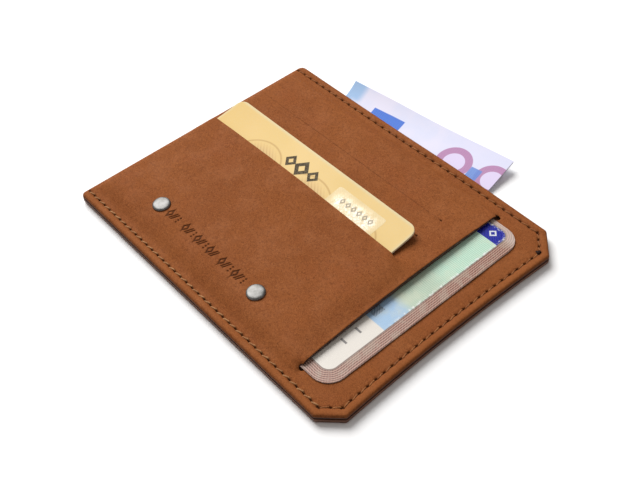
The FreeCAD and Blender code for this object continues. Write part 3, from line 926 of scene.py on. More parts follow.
def plate(name, corner, size, radius, levels, place, materials, step=2.0, bevel=0.1, relief=None):
    """Thin plate with rounded corners and edges; place puts its flat points in space."""
    width, length = size
    border = rounded_rectangle(width, length, radius, 0.0, step)
    inner = [rounded_rectangle(width, length, radius, bevel * k, step) for k in (0.3, 1.0, 3.0)]
    free = apart(np.concatenate(inner), border, 0.2 * bevel)
    field = grid(4 * bevel, width - 4 * bevel, 4 * bevel, length - 4 * bevel, step)
    free = np.concatenate((free, apart(field, np.concatenate((border, free)), 0.5 * step)))
    free = free[inside_rectangle(free[:, 0], free[:, 1], width, length, radius) > 0.25 * bevel]
    flat, faces = triangulate(border, [], free)
    u, v = flat[:, 0], flat[:, 1]
    drop = edge_round(inside_rectangle(u, v, width, length, radius), bevel)
    low, high = levels
    top = high - drop
    if relief is not None:
        top = top - relief(u, v)
    upper = place(u + corner[0], v + corner[1], top)
    lower = place(u + corner[0], v + corner[1], low + drop)
    verts, solid, slots, _ = shell(flat, faces, upper, lower, 1, False)
    rest = np.concatenate([np.stack((u + corner[0], v + corner[1], np.full_like(u, level)), 1)
                           for level in (high, low)])
    slots = [1 if slot == 1 and len(materials) > 1 else 0 for slot in slots]
    return make_mesh(name, verts, solid, materials, slots, {"rest": rest})


CARD_SIZE = (85.6, 54.0)
CARD_THICK = 0.76
CARD_TILT = math.radians(2.2)
CARD_BEND = 16.4                   # outer stretch of the card that springs upwards
CARD_BEND_R = 80.0
CHIP = ((10.2, 24.0), (12.6, 11.4))
FOIL = ((55.0, 40.5), (21.0, 9.5))
STRIPE = ((0.3, 37.8), (85.0, 12.7))
INK = 0.015                        # how far foil, contacts and stripe stand off the card


def bent_card(u, v, w):
    """The payment card lies on the pocket's slope and curls up past its flat stretch."""
    low, _ = span("payment_card")
    flat = CARD_SIZE[1] - CARD_BEND
    turn = np.maximum(v - flat, 0.0) / CARD_BEND_R
    y = np.minimum(v, flat) + (CARD_BEND_R - w) * np.sin(turn)
    z = CARD_BEND_R - (CARD_BEND_R - w) * np.cos(turn)
    tilted_y = y * math.cos(CARD_TILT) - z * math.sin(CARD_TILT)
    tilted_z = y * math.sin(CARD_TILT) + z * math.cos(CARD_TILT)
    start_y = low[1] + CARD_THICK * math.sin(CARD_TILT)
    return np.stack((u + low[0], tilted_y + start_y, tilted_z + low[2]), 1)


def contact_relief(u, v):
    """Grooves that part the chip's contacts."""
    lines = np.full_like(u, 1e9)
    width, length = CHIP[1]
    for t in (0.25, 0.5, 0.75):
        outer = (u < width * 0.34) | (u > width * 0.66)
        lines = np.where(outer, np.minimum(lines, np.abs(v - length * t)), lines)
    for t in (0.34, 0.66):
        lines = np.minimum(lines, np.abs(u - width * t))
    return 0.012 * smooth(1.3 - lines / 0.16)


def flat_id(u, v, w):
    low, _ = span("id_card_foils")
    return np.stack((u + low[0], v + low[1], w + low[2]), 1)


NOTE_TURN = math.radians(7.8)
NOTE_SIZE = (66.5, 72.0)
NOTE_PLY = 0.07
NOTE_FOLD_R = 0.085


def note_profile():
    """Middle line of the folded note across its width: distance from the fold, height, ply."""
    across = [0.0, 0.2, 0.5, 1.0, 2.0] + list(np.linspace(4.0, NOTE_SIZE[0], 30))
    points = [(p + NOTE_FOLD_R, NOTE_FOLD_R, 1.0) for p in across[::-1]]
    for k in range(1, 6):
        angle = math.pi / 2 + math.pi * k / 6
        points.append((NOTE_FOLD_R + NOTE_FOLD_R * math.cos(angle), NOTE_FOLD_R * math.sin(angle), 0.5))
    points += [(p + NOTE_FOLD_R, -NOTE_FOLD_R, 0.0) for p in across]
    return np.array(points)


def note_points(profile, along, offset):
    """Points of the note offset from its middle line, for every profile point and length."""
    step = np.gradient(profile[:, :2], axis=0)
    step /= np.linalg.norm(step, axis=1, keepdims=True)
    normal = np.stack((step[:, 1], -step[:, 0]), 1)
    p, q = np.meshgrid(profile[:, 0] + normal[:, 0] * offset, along)
    w = np.tile(profile[:, 1] + normal[:, 1] * offset, (len(along), 1))
    ply = np.tile(profile[:, 2], (len(along), 1))
    low, _ = span("banknote")
    corner_x = low[0] + NOTE_SIZE[1] * math.sin(NOTE_TURN) + 0.02
    x = corner_x + p * math.cos(NOTE_TURN) - q * math.sin(NOTE_TURN)
    y = low[1] - 0.02 + p * math.sin(NOTE_TURN) + q * math.cos(NOTE_TURN)
    share = np.clip(p / NOTE_SIZE[0], 0, 1)
    past = np.maximum(y - HEIGHT + 0.2, 0.0)
    reach = 6.8 + 9.0 * share
    lift = (3.1 - 1.4 * share) * (past / reach) ** 1.6
    lift += 0.25 * np.sin(math.pi * share * 2.3 + 0.4) * smooth(past / 10.0) * smooth(share * 3)
    gape = 0.32 * ply * smooth((share - 0.35) / 0.65) * smooth(past / 12.0)
    z = low[2] + NOTE_PLY + NOTE_FOLD_R + 0.03 + w + np.maximum(lift, 0) + gape
    return np.stack((x, y, z), 2), np.stack((p, q, ply), 2)


def make_note(materials):
    """Banknote folded in half, two plies, its outer end curling up."""
    profile = note_profile()
    along = np.concatenate((np.linspace(0, 58, 20), np.linspace(59.5, NOTE_SIZE[1], 22)))
    rows, columns = len(along), len(profile)
    outer, rest = note_points(profile, along, NOTE_PLY / 2)
    inner, _ = note_points(profile, along, -NOTE_PLY / 2)
    count = rows * columns
    verts = np.concatenate((outer.reshape(-1, 3), inner.reshape(-1, 3)))
    faces = []
    for a in [r * columns + c for r in range(rows - 1) for c in range(columns - 1)]:
        quad = [a, a + columns, a + columns + 1, a + 1]
        faces += [quad, [i + count for i in quad[::-1]]]
    slots = [0] * len(faces)
    number = np.arange(count).reshape(rows, columns)
    rim = [*number[0], *number[1:, -1], *number[-1, -2::-1], *number[-2:0:-1, 0]]
    faces += [[int(i) for i in (a, b, b + count, a + count)] for a, b in zip(rim, rim[1:] + rim[:1])]
    slots += [1] * len(rim)
    side = np.concatenate((np.ones(count), np.zeros(count)))
    rest = np.tile(rest.reshape(-1, 3), (2, 1))
    return make_mesh("folded_note", verts, faces, materials, slots, {"rest": rest, "outside": side}, 60.0)


# ------------------------------------------------------------ materials


EXPOSURE = 0.88                    # the studio light is this much brighter than the colours are named for


def srgb(red, green, blue):
    def linear(c):
        c /= 255
        return EXPOSURE * (c / 12.92 if c <= 0.04045 else ((c + 0.055) / 1.055) ** 2.4)
    return (linear(red), linear(green), linear(blue), 1.0)


PRINT_TONE = 0.71


def ink(red, green, blue):
    """A printed colour, toned down because the studio light is brighter than white."""
    return tuple(PRINT_TONE * c for c in srgb(red, green, blue)[:3]) + (1.0,)


class Value:
    """A shader node's output that can be used in sums."""

    def __init__(self, paint, socket):
        self.paint = paint
        self.socket = socket

    def __add__(self, other):
        return self.paint.math("ADD", self, other)

    def __sub__(self, other):
        return self.paint.math("SUBTRACT", self, other)

    def __mul__(self, other):
        return self.paint.math("MULTIPLY", self, other)

    def __abs__(self):
        return self.paint.math("ABSOLUTE", self)

    def curve(self, low, high, start=0.0, end=1.0):
        """Smooth step from start, where the value is low, to end, where it is high."""
        inputs = {"Value": self, "From Min": low, "From Max": high, "To Min": start, "To Max": end}
        return self.paint.node("MapRange", inputs, interpolation_type="SMOOTHSTEP")

    def band(self, low, high, soft=0.15):
        return self.curve(low - soft, low + soft) * self.curve(high - soft, high + soft, 1.0, 0.0)


class Paint:
    """A procedural material, written as a chain of nodes with a running colour."""

    def __init__(self, name, fixed, **settings):
        self.material = bpy.data.materials.new(name)
        self.material.use_nodes = True
        self.tree = self.material.node_tree
        self.shader = self.tree.nodes["Principled BSDF"]
        self.set(**settings)
        if fixed:
            self.place = self.attribute("rest", "Vector")
        else:
            millimetres = {0: self.node("TexCoord", {}, "Object"), "Scale": 1 / MM}
            self.place = self.node("VectorMath", millimetres, operation="SCALE")

    def put(self, socket, value):
        if isinstance(value, Value):
            self.tree.links.new(value.socket, socket)
        else:
            socket.default_value = value

    def set(self, **settings):
        for key, value in settings.items():
            self.put(self.shader.inputs[key.replace("_", " ")], value)

    def node(self, kind, inputs, output=0, **properties):
        made = self.tree.nodes.new("ShaderNode" + kind)
        for key, value in properties.items():
            setattr(made, key, value)
        for key, value in inputs.items():
            self.put(made.inputs[key], value)
        return Value(self, made.outputs[output])

    def attribute(self, name, output="Fac"):
        return self.node("Attribute", {}, output, attribute_name=name)

    def math(self, operation, a, b=0.0):
        return self.node("Math", {0: a, 1: b}, operation=operation)

    def noise(self, size, detail=3.0, rough=0.55, stretch=None):
        place = self.place
        if stretch:
            place = self.node("VectorMath", {0: place, 1: stretch}, operation="MULTIPLY")
        inputs = {"Vector": place, "Scale": 1 / size, "Detail": detail, "Roughness": rough}
        return self.node("TexNoise", inputs, "Fac")

    def cells(self, size, feature="F1"):
        return self.node("TexVoronoi", {"Vector": self.place, "Scale": 1 / size}, "Distance", feature=feature)

    def stripes(self, pitch, direction, distortion=0.0, wander=1.0):
        inputs = {"Vector": self.place, "Scale": 0.314 / pitch, "Distortion": distortion,
                  "Detail Scale": wander}
        return self.node("TexWave", inputs, "Fac", bands_direction=direction)

    def split(self):
        made = self.tree.nodes.new("ShaderNodeSeparateXYZ")
        self.put(made.inputs[0], self.place)
        self.x, self.y, self.z = (Value(self, output) for output in made.outputs)
        return self.x, self.y, self.z

    def distance(self, place, point):
        return self.node("VectorMath", {0: place, 1: point}, "Value", operation="DISTANCE")

    def box(self, corner, far, soft=0.15):
        return self.x.band(corner[0], far[0], soft) * self.y.band(corner[1], far[1], soft)

    def outside(self, corner, far, radius):
        """Distance outside a rounded box; negative just inside it."""
        across = []
        for value, low, high in zip((self.x, self.y), corner, far):
            away = abs(value - (low + high) / 2)
            across.append(self.math("MAXIMUM", away - ((high - low) / 2 - radius), 0.0))
        return self.math("SQRT", across[0] * across[0] + across[1] * across[1]) - radius

    def mix(self, share, a, b):
        return self.node("Mix", {0: share, 6: a, 7: b}, 2, data_type="RGBA")

    def start(self, share, a, b):
        self.colour = self.mix(share, a, b)

    def lay(self, share, colour):
        """Lay a colour over the running colour where share is high."""
        self.colour = self.mix(share, self.colour, colour)

    def bump(self, height, depth, strength, under=None):
        inputs = {"Height": height, "Distance": depth * MM, "Strength": strength}
        if under is not None:
            inputs["Normal"] = under
        return self.node("Bump", inputs)

    def done(self, rough, normal, **settings):
        self.set(Base_Color=self.colour, Roughness=rough, Normal=normal, **settings)
        return self.material


def grained(name, noise, tones, gloss, share=None, relief=None, fixed=False, **settings):
    """Plain material: its two tones, its gloss and its relief follow one noise."""
    p = Paint(name, fixed, **settings)
    grain = p.noise(*noise)
    p.start(grain.curve(*share) if share else grain, *tones)
    p.set(Base_Color=p.colour, Roughness=grain.curve(*gloss))
    if relief:
        p.set(Normal=p.bump(grain, *relief))
    return p.material


TAN = srgb(138, 77, 36)
TAN_LIGHT = srgb(146, 84, 42)
TAN_DARK = srgb(127, 68, 31)
TAN_RED = srgb(136, 72, 36)
TAN_WEAR_HIGHLIGHT = srgb(162, 98, 52)
DEEP_BROWN = srgb(38, 18, 9)


def nubuck(name):
    """Waxed nubuck: mottled brown, fine nap; darker in pressed marks, at the dyed edge and with painted shade
    in holes, grooves and cuts; lighter with wear and a painted highlight.
    """
    p = Paint(name, True, Metallic=0.0, IOR=1.45)
    broad, cloud = p.noise(26.0, 4.0, 0.6), p.noise(7.5, 5.0, 0.65)
    grain, nap = p.noise(0.85, 6.0, 0.7), p.noise(0.22, 3.0, 0.7)
    pores = p.cells(0.75).curve(0.0, 0.3, 1.0, 0.0)
    p.start(broad.curve(0.36, 0.64), TAN_DARK, TAN)
    p.lay(cloud.curve(0.42, 0.72), TAN_LIGHT)
    p.lay(p.noise(14.0, 3.0, 0.5).curve(0.5, 0.72, 0.0, 0.6), TAN_RED)
    p.lay(grain.curve(0.3, 0.62, 0.8, 0.0), srgb(104, 54, 22))
    p.lay(nap.curve(0.4, 0.7, 0.0, 0.8), srgb(172, 105, 57))
    p.lay(pores * 0.3, DEEP_BROWN)
    # Lighter along the margins and slit lips: edge wear with a painted highlight.
    p.lay(p.attribute("wear_and_highlight") * 0.45, TAN_WEAR_HIGHLIGHT)
    # Darker: pressing, edge dye and round the knot, with painted shade in the stitch holes, slit-end holes,
    # the stitch groove and the closed slits.
    p.lay(p.attribute("dark") * 0.8, DEEP_BROWN)
    normal = p.bump(nap - pores * 0.8, 0.07, 0.6, p.bump(grain, 0.16, 0.5))
    return p.done(cloud.curve(0.3, 0.8, 0.78, 0.6), normal, Specular_IOR_Level=0.1,
                  Sheen_Weight=0.03, Sheen_Roughness=0.45, Sheen_Tint=srgb(190, 120, 70))


def flesh_side(name):
    """Unfinished inner side of the hide."""
    p = Paint(name, False, Specular_IOR_Level=0.25, Sheen_Weight=0.25)
    fibre = p.noise(0.35, 6.0, 0.75)
    p.start(p.noise(6.0, 3.0, 0.6).curve(0.3, 0.7), srgb(128, 88, 60), srgb(158, 114, 80))
    p.lay(fibre.curve(0.35, 0.75, 0.4, 0.0), srgb(92, 60, 40))
    return p.done(fibre.curve(0.2, 0.8, 0.92, 0.8), p.bump(fibre, 0.14, 0.7))


def lining(name):
    """Thin smooth lining leather with fine pebbled grain."""
    p = Paint(name, False, Specular_IOR_Level=0.4)
    pebble, cloud = p.cells(0.8, "SMOOTH_F1"), p.noise(12.0, 4.0, 0.6)
    p.start(cloud.curve(0.3, 0.7), srgb(96, 55, 33), srgb(122, 74, 46))
    p.lay(pebble.curve(0.1, 0.6, 0.0, 0.35), srgb(62, 34, 21))
    fine = p.bump(p.noise(0.2, 3.0, 0.6), 0.04, 0.4)
    return p.done(cloud.curve(0.2, 0.8, 0.5, 0.64), p.bump(pebble, -0.1, 0.6, fine))


def board(name):
    """Pressed leather fibre board."""
    p = Paint(name, False, Specular_IOR_Level=0.3)
    flakes = p.noise(1.1, 6.0, 0.75, (1.0, 1.0, 2.5))
    p.start(flakes.curve(0.3, 0.7), srgb(120, 88, 62), srgb(172, 138, 102))
    p.lay(p.cells(1.6).curve(0.05, 0.35, 0.5, 0.0), srgb(78, 54, 38))
    return p.done(flakes.curve(0.2, 0.8, 0.9, 0.75), p.bump(flakes, 0.1, 0.6))


def cloth(name):
    """Thin woven backing."""
    p = Paint(name, False, Specular_IOR_Level=0.2, Sheen_Weight=0.2)
    weave = p.stripes(0.45, "X") * p.stripes(0.45, "Y")
    tone = p.noise(5.0, 3.0, 0.6)
    p.start(tone.curve(0.3, 0.7), srgb(70, 48, 35), srgb(92, 66, 50))
    p.lay(weave.curve(0.0, 0.6, 0.55, 0.0), srgb(36, 24, 18))
    return p.done(tone.curve(0.2, 0.8, 0.95, 0.85), p.bump(weave, 0.1, 0.8))


def waxed_thread(name, dark, light):
    """Tan waxed linen thread with darker wear, burnt where it is knotted."""
    p = Paint(name, False, Specular_IOR_Level=0.15)
    twist, wear = p.stripes(0.32, "DIAGONAL", 1.5, 2.0), p.noise(2.3, 4.0, 0.65)
    p.start(wear.curve(0.3, 0.7), dark, light)
    p.lay(twist.curve(0.0, 0.5, 0.45, 0.0), srgb(84, 46, 24))
    p.split()
    x, y = KNOT[0] + START.x / MM, KNOT[1] + START.y / MM
    reach = 0.9
    p.lay(p.box((x - reach, y - reach), (x + reach, y + reach), 0.1), DEEP_BROWN)
    return p.done(wear.curve(0.2, 0.8, 0.5, 0.68), p.bump(twist, 0.08, 0.7))


def satin_metal(name, light, dark, spread):
    """Nickel-plated steel with fine rubbing marks."""
    p = Paint(name, False, Metallic=1.0)
    smear, scratch = p.noise(1.8, 4.0, 0.6), p.noise(0.5, 5.0, 0.75, (6.0, 0.6, 1.0))
    p.start(smear.curve(0.3, 0.75), dark, light)
    return p.done(smear.curve(0.2, 0.8, *spread) + scratch * 0.1, p.bump(p.noise(0.16, 4.0, 0.7), 0.006, 0.5))


CARD_ARCS = ((25.0, 37.5, 10.0), (48.5, 35.5, 12.0), (71.0, 37.0, 9.5))      # middle and reach
CARD_LOZENGES = ((34.5, 2.4), (39.8, 3.2), (45.2, 2.4))                      # place and size


def gold_card(name):
    """Warm gold card: plain ground, hatched swirls low on it and three dark lozenges, no lettering."""
    p = Paint(name, True, Specular_IOR_Level=0.06)
    x, y, z = p.split()
    broad, speck = p.noise(16.0, 3.0, 0.5), p.noise(0.3, 3.0, 0.6)
    p.start(x.curve(-4.0, 30.0), srgb(223, 188, 118), srgb(236, 204, 140))
    p.lay(broad.curve(0.35, 0.65, 0.0, 0.5), srgb(230, 198, 130))
    # Painted highlight: a pale band along the card's top edge and its ends, where they catch the light.
    rim = p.math("MAXIMUM", y.curve(52.6, 53.8), abs(x - 42.8).curve(41.6, 42.8))
    p.lay(rim * 0.6, ink(255, 246, 206))
    hatch = p.stripes(0.75, "DIAGONAL", 1.0, 0.4).curve(0.55, 0.9, 0.0, 0.35)
    for middle_x, middle_y, reach in CARD_ARCS:
        away = p.distance(p.place, (middle_x, middle_y, CARD_THICK))
        fan = away.curve(reach - 5.0, reach, 1.0, 0.0)
        p.lay(fan * 0.4, ink(240, 192, 140))
        p.lay(fan * hatch, ink(192, 146, 92))
        p.lay(away.band(reach - 0.5, reach + 0.1, 0.25) * 0.5, ink(204, 156, 92))
    for middle_x, size in CARD_LOZENGES:
        inside = abs(x - middle_x) + abs(y - 46.6) * 0.9
        p.lay(inside.band(size * 0.42, size, 0.12), ink(70, 52, 26))
    p.lay(z.curve(0.3, 0.45, 1.0, 0.0), p.mix(p.noise(9.0), ink(232, 214, 172), ink(244, 230, 196)))
    p.lay(speck.curve(0.35, 0.8, 0.0, 0.25), ink(255, 240, 196))
    return p.done(broad.curve(0.2, 0.8, 0.4, 0.52), p.bump(speck, 0.01, 0.4))


def contacts(name):
    """Gold contact plate with patchy tone and rubbed gloss; its grooves come from the plate's relief."""
    p = Paint(name, True, Metallic=1.0)
    rubbed = p.noise(0.2, 3.0, 0.7, (5.0, 0.7, 1.0))
    p.start(p.noise(2.5, 4.0, 0.6).curve(0.3, 0.75), srgb(142, 112, 64), srgb(170, 140, 88))
    return p.done(rubbed.curve(0.2, 0.8, 0.34, 0.46), p.bump(rubbed, 0.004, 0.5))


def security_foil(name):
    """Silver foil with fine rulings, patchy glints and a row of small dark lozenges."""
    p = Paint(name, True)
    x, y, _ = p.split()
    glint, tint = p.noise(1.7, 5.0, 0.75), p.noise(6.0, 3.0, 0.6)
    ruled = p.stripes(0.5, "DIAGONAL", 2.0, 0.6)
    p.start(glint.curve(0.38, 0.62), ink(222, 198, 146), ink(236, 232, 222))
    p.lay(tint.curve(0.45, 0.65, 0.0, 0.6), ink(248, 222, 164))
    p.lay(ruled.curve(0.6, 0.9, 0.0, 0.3), ink(190, 182, 160))
    inside = p.math("PINGPONG", x, 1.25) + abs(y - 46.2) * 0.75
    p.lay(inside.band(0.4, 1.0, 0.1) * x.band(58.5, 74.0, 0.1) * 0.75, ink(96, 82, 56))
    (x0, y0), (wide, tall) = FOIL
    rim = 1.8
    inner = p.box((x0 + rim, y0 + rim), (x0 + wide - rim, y0 + tall - rim), 1.7)
    p.colour = p.mix(inner, ink(250, 220, 148), p.colour)
    return p.done(tint.curve(0.2, 0.8, 0.35, 0.5), p.bump(ruled, 0.008, 0.5),
                  Metallic=inner * glint.curve(0.3, 0.7, 0.1, 0.3))


ID_RIM = 3.7


def id_rim(p, fine, tint, away):
    """Ruled, tinted rim of the identity card."""
    lined = p.math("SINE", away * 9.5 + tint * 5.0)
    p.start(lined.curve(-0.5, 0.7), srgb(200, 156, 138), srgb(120, 78, 64))
    p.lay(fine.curve(0.55, 0.85, 0.0, 0.12), srgb(250, 232, 218))
    p.lay(p.noise(4.0, 2.0).curve(0.48, 0.62, 0.0, 0.2), srgb(206, 204, 184))
    p.lay(p.y.curve(ID_SIZE[1] - 6.0, ID_SIZE[1] - 2.5, 0.0, 0.45), srgb(240, 226, 216))
    return p.colour


def id_field(p, fine, tint):
    """Soft fields, waves and blocks of colour inside the rim."""
    x, y = p.x, p.y
    wide, tall = ID_SIZE
    waves = p.stripes(0.62, "Y", 6.0, 0.22)
    p.start(y.curve(24.9, 25.3), srgb(245, 238, 228), srgb(174, 208, 240))
    p.lay(y.curve(33.0, 37.5), srgb(206, 222, 200))
    p.lay(y.curve(46.0, 54.0), srgb(214, 248, 226))
    p.lay(waves.curve(0.5, 0.85, 0.0, 0.6) * y.curve(34.0, 42.0), srgb(158, 198, 170))
    p.lay(tint.curve(0.4, 0.7, 0.0, 0.35) * y.curve(22.0, 30.0), srgb(232, 232, 206))
    p.lay(y.band(71.5, tall, 0.12), p.mix(fine.curve(0.3, 0.8), srgb(16, 24, 150), srgb(34, 46, 178)))
    lozenge = abs(x - (wide - 8.2)) + abs(y - 74.4)
    p.lay(lozenge.band(0.8, 1.5, 0.1), srgb(236, 238, 246))
    for mark in (14.0, 19.5):
        p.lay(p.box((wide - 10.4, mark), (wide - 8.0, mark + 0.7), 0.1) * 0.8, srgb(74, 70, 72))
    patch = p.box((wide - 12.5, 26.5), (wide - 9.4, 30.5))
    p.lay(patch * 0.7, p.mix(fine, srgb(82, 96, 116), srgb(164, 178, 188)))
    return p.colour


def id_print(name):
    """Identity card: patterned rim, grey line, soft colour fields and waves, no lettering."""
    p = Paint(name, True, Specular_IOR_Level=0.2)
    p.split()
    wide, tall = ID_SIZE
    fine, tint = p.stripes(0.5, "DIAGONAL", 5.0, 0.5), p.noise(5.0, 3.0, 0.6)
    away = p.outside((ID_RIM, ID_RIM + 0.4), (wide - ID_RIM - 0.4, tall - 1.8), 3.0)
    p.start(away.curve(-0.1, 0.1), id_field(p, fine, tint), id_rim(p, fine, tint, away))
    p.lay(away.band(0.0, 0.35, 0.1) * 0.8, srgb(126, 112, 104))
    frost = p.noise(0.9, 4.0, 0.6).curve(0.46, 0.66, 0.0, 0.8) * away.band(-0.7, 0.1, 0.25)
    p.lay(frost * p.y.curve(24.0, 34.0), srgb(255, 255, 252))
    return p.done(tint.curve(0.2, 0.8, 0.3, 0.4), p.bump(fine, 0.004, 0.3))


NOTE_RINGS = ((50.2, 61.7), (65.2, 61.6))


def note_print(name):
    """Banknote paper with abstract rings, a bar and colour blocks, no lettering."""
    p = Paint(name, True, Specular_IOR_Level=0.25)
    x, y, _ = p.split()
    fine, fibre = p.stripes(0.45, "Y", 6.0, 0.4), p.noise(0.3, 4.0, 0.7)
    p.start(p.noise(9.0, 3.0, 0.55).curve(0.35, 0.65), srgb(238, 234, 250), srgb(228, 230, 250))
    p.lay(x.curve(34.0, 52.0, 0.0, 0.7), srgb(226, 226, 248))
    p.lay(fine.curve(0.6, 0.9, 0.0, 0.3), srgb(196, 200, 234))
    high = x.curve(4.0, 7.5, 1.0, 0.0) * y.curve(64.5, 67.5)
    low = x.curve(1.5, 5.0, 1.0, 0.0) * y.curve(60.0, 63.0)
    p.lay(p.math("MAXIMUM", high, low) * 0.85, p.mix(fine, srgb(128, 176, 226), srgb(176, 208, 240)))
    bar = p.mix(fine.curve(0.2, 0.9), srgb(72, 112, 212), srgb(104, 146, 226))
    p.lay(p.box((12.8, 60.0), (26.0, 67.0), 0.12), bar)
    flat = p.node("CombineXYZ", {0: x, 1: y, 2: 0.0})
    ring = p.mix(fine.curve(0.3, 0.9), srgb(178, 128, 172), srgb(200, 158, 194))
    for middle in NOTE_RINGS:
        away = p.distance(flat, (*middle, 0.0))
        p.lay(away.band(3.7, 6.3, 0.12), ring)
        p.lay(away.band(0.0, 3.7, 0.1), srgb(226, 214, 244))
    block = p.mix(fine, srgb(84, 124, 206), srgb(124, 160, 224))
    p.lay(p.box((56.4, 57.0), (60.6, 63.2), 0.2) * 0.9, block)
    plain = p.math("SUBTRACT", 1.0, p.attribute("outside"))
    p.lay(plain * 0.8, srgb(240, 238, 242))
    return p.done(fibre.curve(0.2, 0.8, 0.72, 0.86), p.bump(fibre, 0.03, 0.4))


# ------------------------------------------------------------ build the object

face, flesh, soft_lining = nubuck("leather_face"), flesh_side("leather_flesh"), lining("lining_grain")
# Dyed, burnished cut edge, its tones set darker than the dye to stand in for the shade on edges that face
# away from the light: partly painted shade.
edge_dark = grained("leather_cut_edge", (0.5, 4.0, 0.65, (0.25, 0.25, 3.0)),
                    (srgb(48, 25, 14), srgb(82, 46, 27)), (0.2, 0.8, 0.5, 0.72),
                    (0.3, 0.75), (0.1, 0.6), Specular_IOR_Level=0.4)
thread_paint = waxed_thread("waxed_thread", srgb(134, 78, 40), srgb(172, 112, 64))
# Lighter copy of the thread for the near run: a painted highlight where that run's thread is lit.
lighter_lit_thread = waxed_thread("lighter_lit_thread", srgb(160, 108, 66), srgb(190, 140, 94))
cap_metal = satin_metal("satin_nickel", srgb(140, 139, 137), srgb(102, 101, 98), (0.4, 0.5))
post_metal = satin_metal("post_nickel", srgb(206, 202, 192), srgb(150, 146, 138), (0.32, 0.5))

pieces = [(make_front_cover([face, edge_dark, flesh]), "front_leaf", "cover_leather", ["front_panel"]),
          (make_back_cover([face, edge_dark, flesh]), "back_leaf", "cover_leather",
           ["back_panel", "spine_fold"]),
          (make_front_lining([soft_lining, edge_dark, soft_lining]), "front_leaf", "lining_leather",
           ["front_lining"])]
thread_runs = {"bottom": ["bottom"], "side": ["near", "side", "far"], "top": ["top"]}
for leaf, keys, outer, inner, up in (("front", ("bottom", "side", "top"), front_outer, front_inner, UP),
                                     ("back", ("bottom", "side"), back_outer, back_inner, DOWN)):
    for key in keys:
        name = leaf + "_thread_" + key
        knots = [(*KNOT, 0.75)] if name == "front_thread_side" else []
        # The near run on the front gets the lighter copy: painted highlight.
        paint = lighter_lit_thread if name == "front_thread_bottom" else thread_paint
        piece = make_threads(name, thread_runs[key], outer, inner, up, knots, paint)
        pieces.append((piece, leaf + "_leaf", "thread", ["stitches_" + leaf + "_" + key]))
pieces.append((make_rivet_caps(cap_metal), "front_leaf", "rivet_metal", ["rivet_caps"]))

card_core = grained("card_core", (0.5, 3.0, 0.6, (0.4, 0.4, 4.0)), (srgb(226, 212, 178), srgb(246, 236, 208)),
                    (0.2, 0.8, 0.5, 0.36), (0.3, 0.7), Specular_IOR_Level=0.45)
stripe_film = grained("stripe_film", (0.4, 4.0, 0.7, (0.05, 1.0, 1.0)), (srgb(34, 26, 24), srgb(58, 46, 42)),
                      (0.2, 0.8, 0.3, 0.46), (0.3, 0.75), (0.004, 0.4), True, Specular_IOR_Level=0.5)
on_card = (CARD_THICK - 0.1, CARD_THICK + INK)
card_parts = (
    ("gold_card", ((0, 0), CARD_SIZE, 3.18, (0.0, CARD_THICK)), [gold_card("gold_card_print"), card_core],
     (1.8, 0.12), "card_plastic", "payment_card"),
    ("card_contacts", (*CHIP, 1.6, on_card), [contacts("contact_plate")],
     (0.3, 0.02, contact_relief), "contact_metal", "payment_card_chip"),
    ("card_foil", (*FOIL, 1.0, on_card), [security_foil("silver_foil")],
     (1.0, 0.02), "silver_foil", "payment_card_foil"),
    ("card_stripe", (*STRIPE, 0.3, (-INK, 0.1)), [stripe_film],
     (1.8, 0.02), "stripe_film", "payment_card_stripe"))
for name, shape, paints, detail, slot, node in card_parts:
    pieces.append((plate(name, *shape, bent_card, paints, *detail), "payment_card", slot, [node]))

foils_low, foils_high = span("id_card_foils")
ID_SIZE = tuple((foils_high - foils_low)[:2])
ID_THICK = foils_high[2] - foils_low[2]
haze, milky = (1.2, 4.0, 0.6), (srgb(206, 204, 204), srgb(238, 234, 232))
id_core, film_edge = (grained(name, haze, milky, (0.3, 0.7, 0.2, 0.34), Specular_IOR_Level=0.5)
                      for name in ("id_core", "film_edge"))
clear_film = grained("clear_film", (8.0, 4.0, 0.6), (srgb(60, 64, 66), srgb(84, 86, 86)),
                     (0.3, 0.7, 0.2, 0.3), fixed=True, Specular_IOR_Level=0.5, Alpha=0.05)
id_parts = (
    ("id_printed_sheet", (0.1, ID_THICK - 0.1), [id_print("id_fields"), id_core], 0.06,
     "id_print", ["id_card_sheet"]),
    ("id_film_lower", (0.0, 0.09), [clear_film, film_edge], 0.04, "clear_laminate", ["id_card_foils"]),
    ("id_film_upper", (ID_THICK - 0.09, ID_THICK), [clear_film, film_edge], 0.04, "clear_laminate", []))
for name, levels, paints, bevel, slot, nodes in id_parts:
    piece = plate(name, (0, 0), ID_SIZE, 6.2, levels, flat_id, paints, 3.0, bevel)
    pieces.append((piece, "id_card", slot, nodes))
note_edge = grained("note_cut_edge", (0.4, 4.0, 0.7), (srgb(92, 84, 104), srgb(150, 142, 158)),
                    (0.2, 0.8, 0.9, 0.75), Specular_IOR_Level=0.2)
pieces.append((make_note([note_print("note_print"), note_edge]), "banknote", "note_paper", ["banknote"]))

for piece, body, slot, nodes in pieces:
    if piece.name == "front_cover":
        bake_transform(piece)
    elif piece.name == "back_cover":
        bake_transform(piece)
    else:
        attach(piece, body)
    if nodes:
        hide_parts(*nodes)

weave = cloth("backing_weave")
carried = {"back_lining": soft_lining, "interlining_board": board("leatherboard_fibre"),
           "pocket_backing_upper": weave, "pocket_backing_middle": weave, "pocket_backing_lower": weave,
           "rivet_posts": post_metal, "rivet_washers": post_metal}
for node, material in carried.items():
    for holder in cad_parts[node].material_slots:
        holder.material = material

# ------------------------------------------------------------ stage


BOARD_DULL = (0.92, 0.92, 0.92, 1.0)
BOARD_BRIGHT = (0.95, 0.95, 0.95, 1.0)


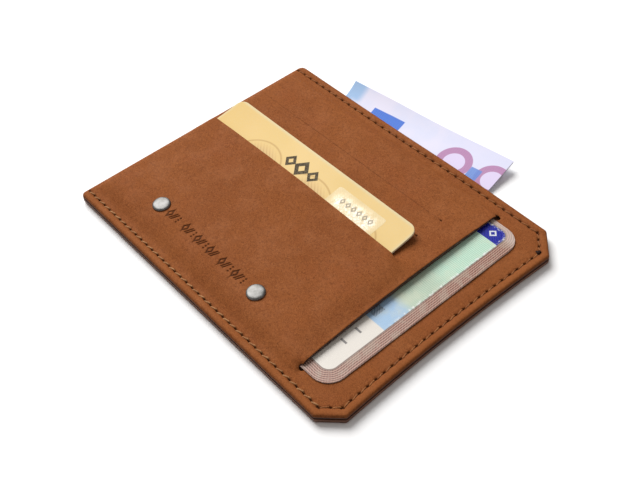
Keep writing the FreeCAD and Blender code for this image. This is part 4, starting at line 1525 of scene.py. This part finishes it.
def add_floor():
    half = 3.0
    mesh = bpy.data.meshes.new("floor")
    corners = [(-half, -half, 0), (half, -half, 0), (half, half, 0), (-half, half, 0)]
    mesh.from_pydata(corners, [], [(0, 1, 2, 3)])
    paint = grained("white_board", (90.0, 3.0, 0.5), (BOARD_DULL, BOARD_BRIGHT), (0.2, 0.8, 0.85, 0.95),
                    Specular_IOR_Level=0.2)
    mesh.materials.append(paint)
    floor = bpy.data.objects.new("floor", mesh)
    bpy.context.scene.collection.objects.link(floor)


def add_light(name, place, size, power, colour=(1, 1, 1)):
    data = bpy.data.lights.new(name, "AREA")
    data.shape = "DISK"
    data.size = size
    data.energy = power
    data.color = colour
    lamp = bpy.data.objects.new(name, data)
    lamp.location = place
    lamp.rotation_euler = (-Vector(place)).to_track_quat("-Z", "Y").to_euler()
    bpy.context.scene.collection.objects.link(lamp)


def add_camera():
    """Camera at the pictured angle, tipped a little to one side."""
    azimuth, elevation, roll = math.radians(52.03), math.radians(47.34), math.radians(-4.36)
    target, distance = Vector((0.0061, -0.0028, 0.0)), 0.3089
    back = Vector((math.sin(azimuth) * math.cos(elevation), -math.cos(azimuth) * math.cos(elevation),
                   math.sin(elevation)))
    level = Vector((math.cos(azimuth), math.sin(azimuth), 0.0))
    upright = back.cross(level)
    right = level * math.cos(roll) + upright * math.sin(roll)
    up = back.cross(right)
    data = bpy.data.cameras.new("camera")
    data.lens = 55.93
    data.sensor_width = 36.0
    data.clip_start = 0.01
    camera = bpy.data.objects.new("camera", data)
    turn = Matrix((right, up, back)).transposed().to_4x4()
    camera.matrix_world = Matrix.Translation(target + back * distance) @ turn
    bpy.context.scene.collection.objects.link(camera)
    bpy.context.scene.camera = camera


def add_world():
    world = bpy.data.worlds.new("studio")
    world.use_nodes = True
    sky = world.node_tree.nodes["Background"]
    sky.inputs["Color"].default_value = (1.0, 0.965, 0.94, 1.0)
    sky.inputs["Strength"].default_value = 0.37
    bpy.context.scene.world = world


add_floor()
add_light("key", (-0.82, 0.16, 0.95), 1.0, 22.0)
add_world()
add_camera()
bpy.context.scene.view_settings.view_transform = "Standard"
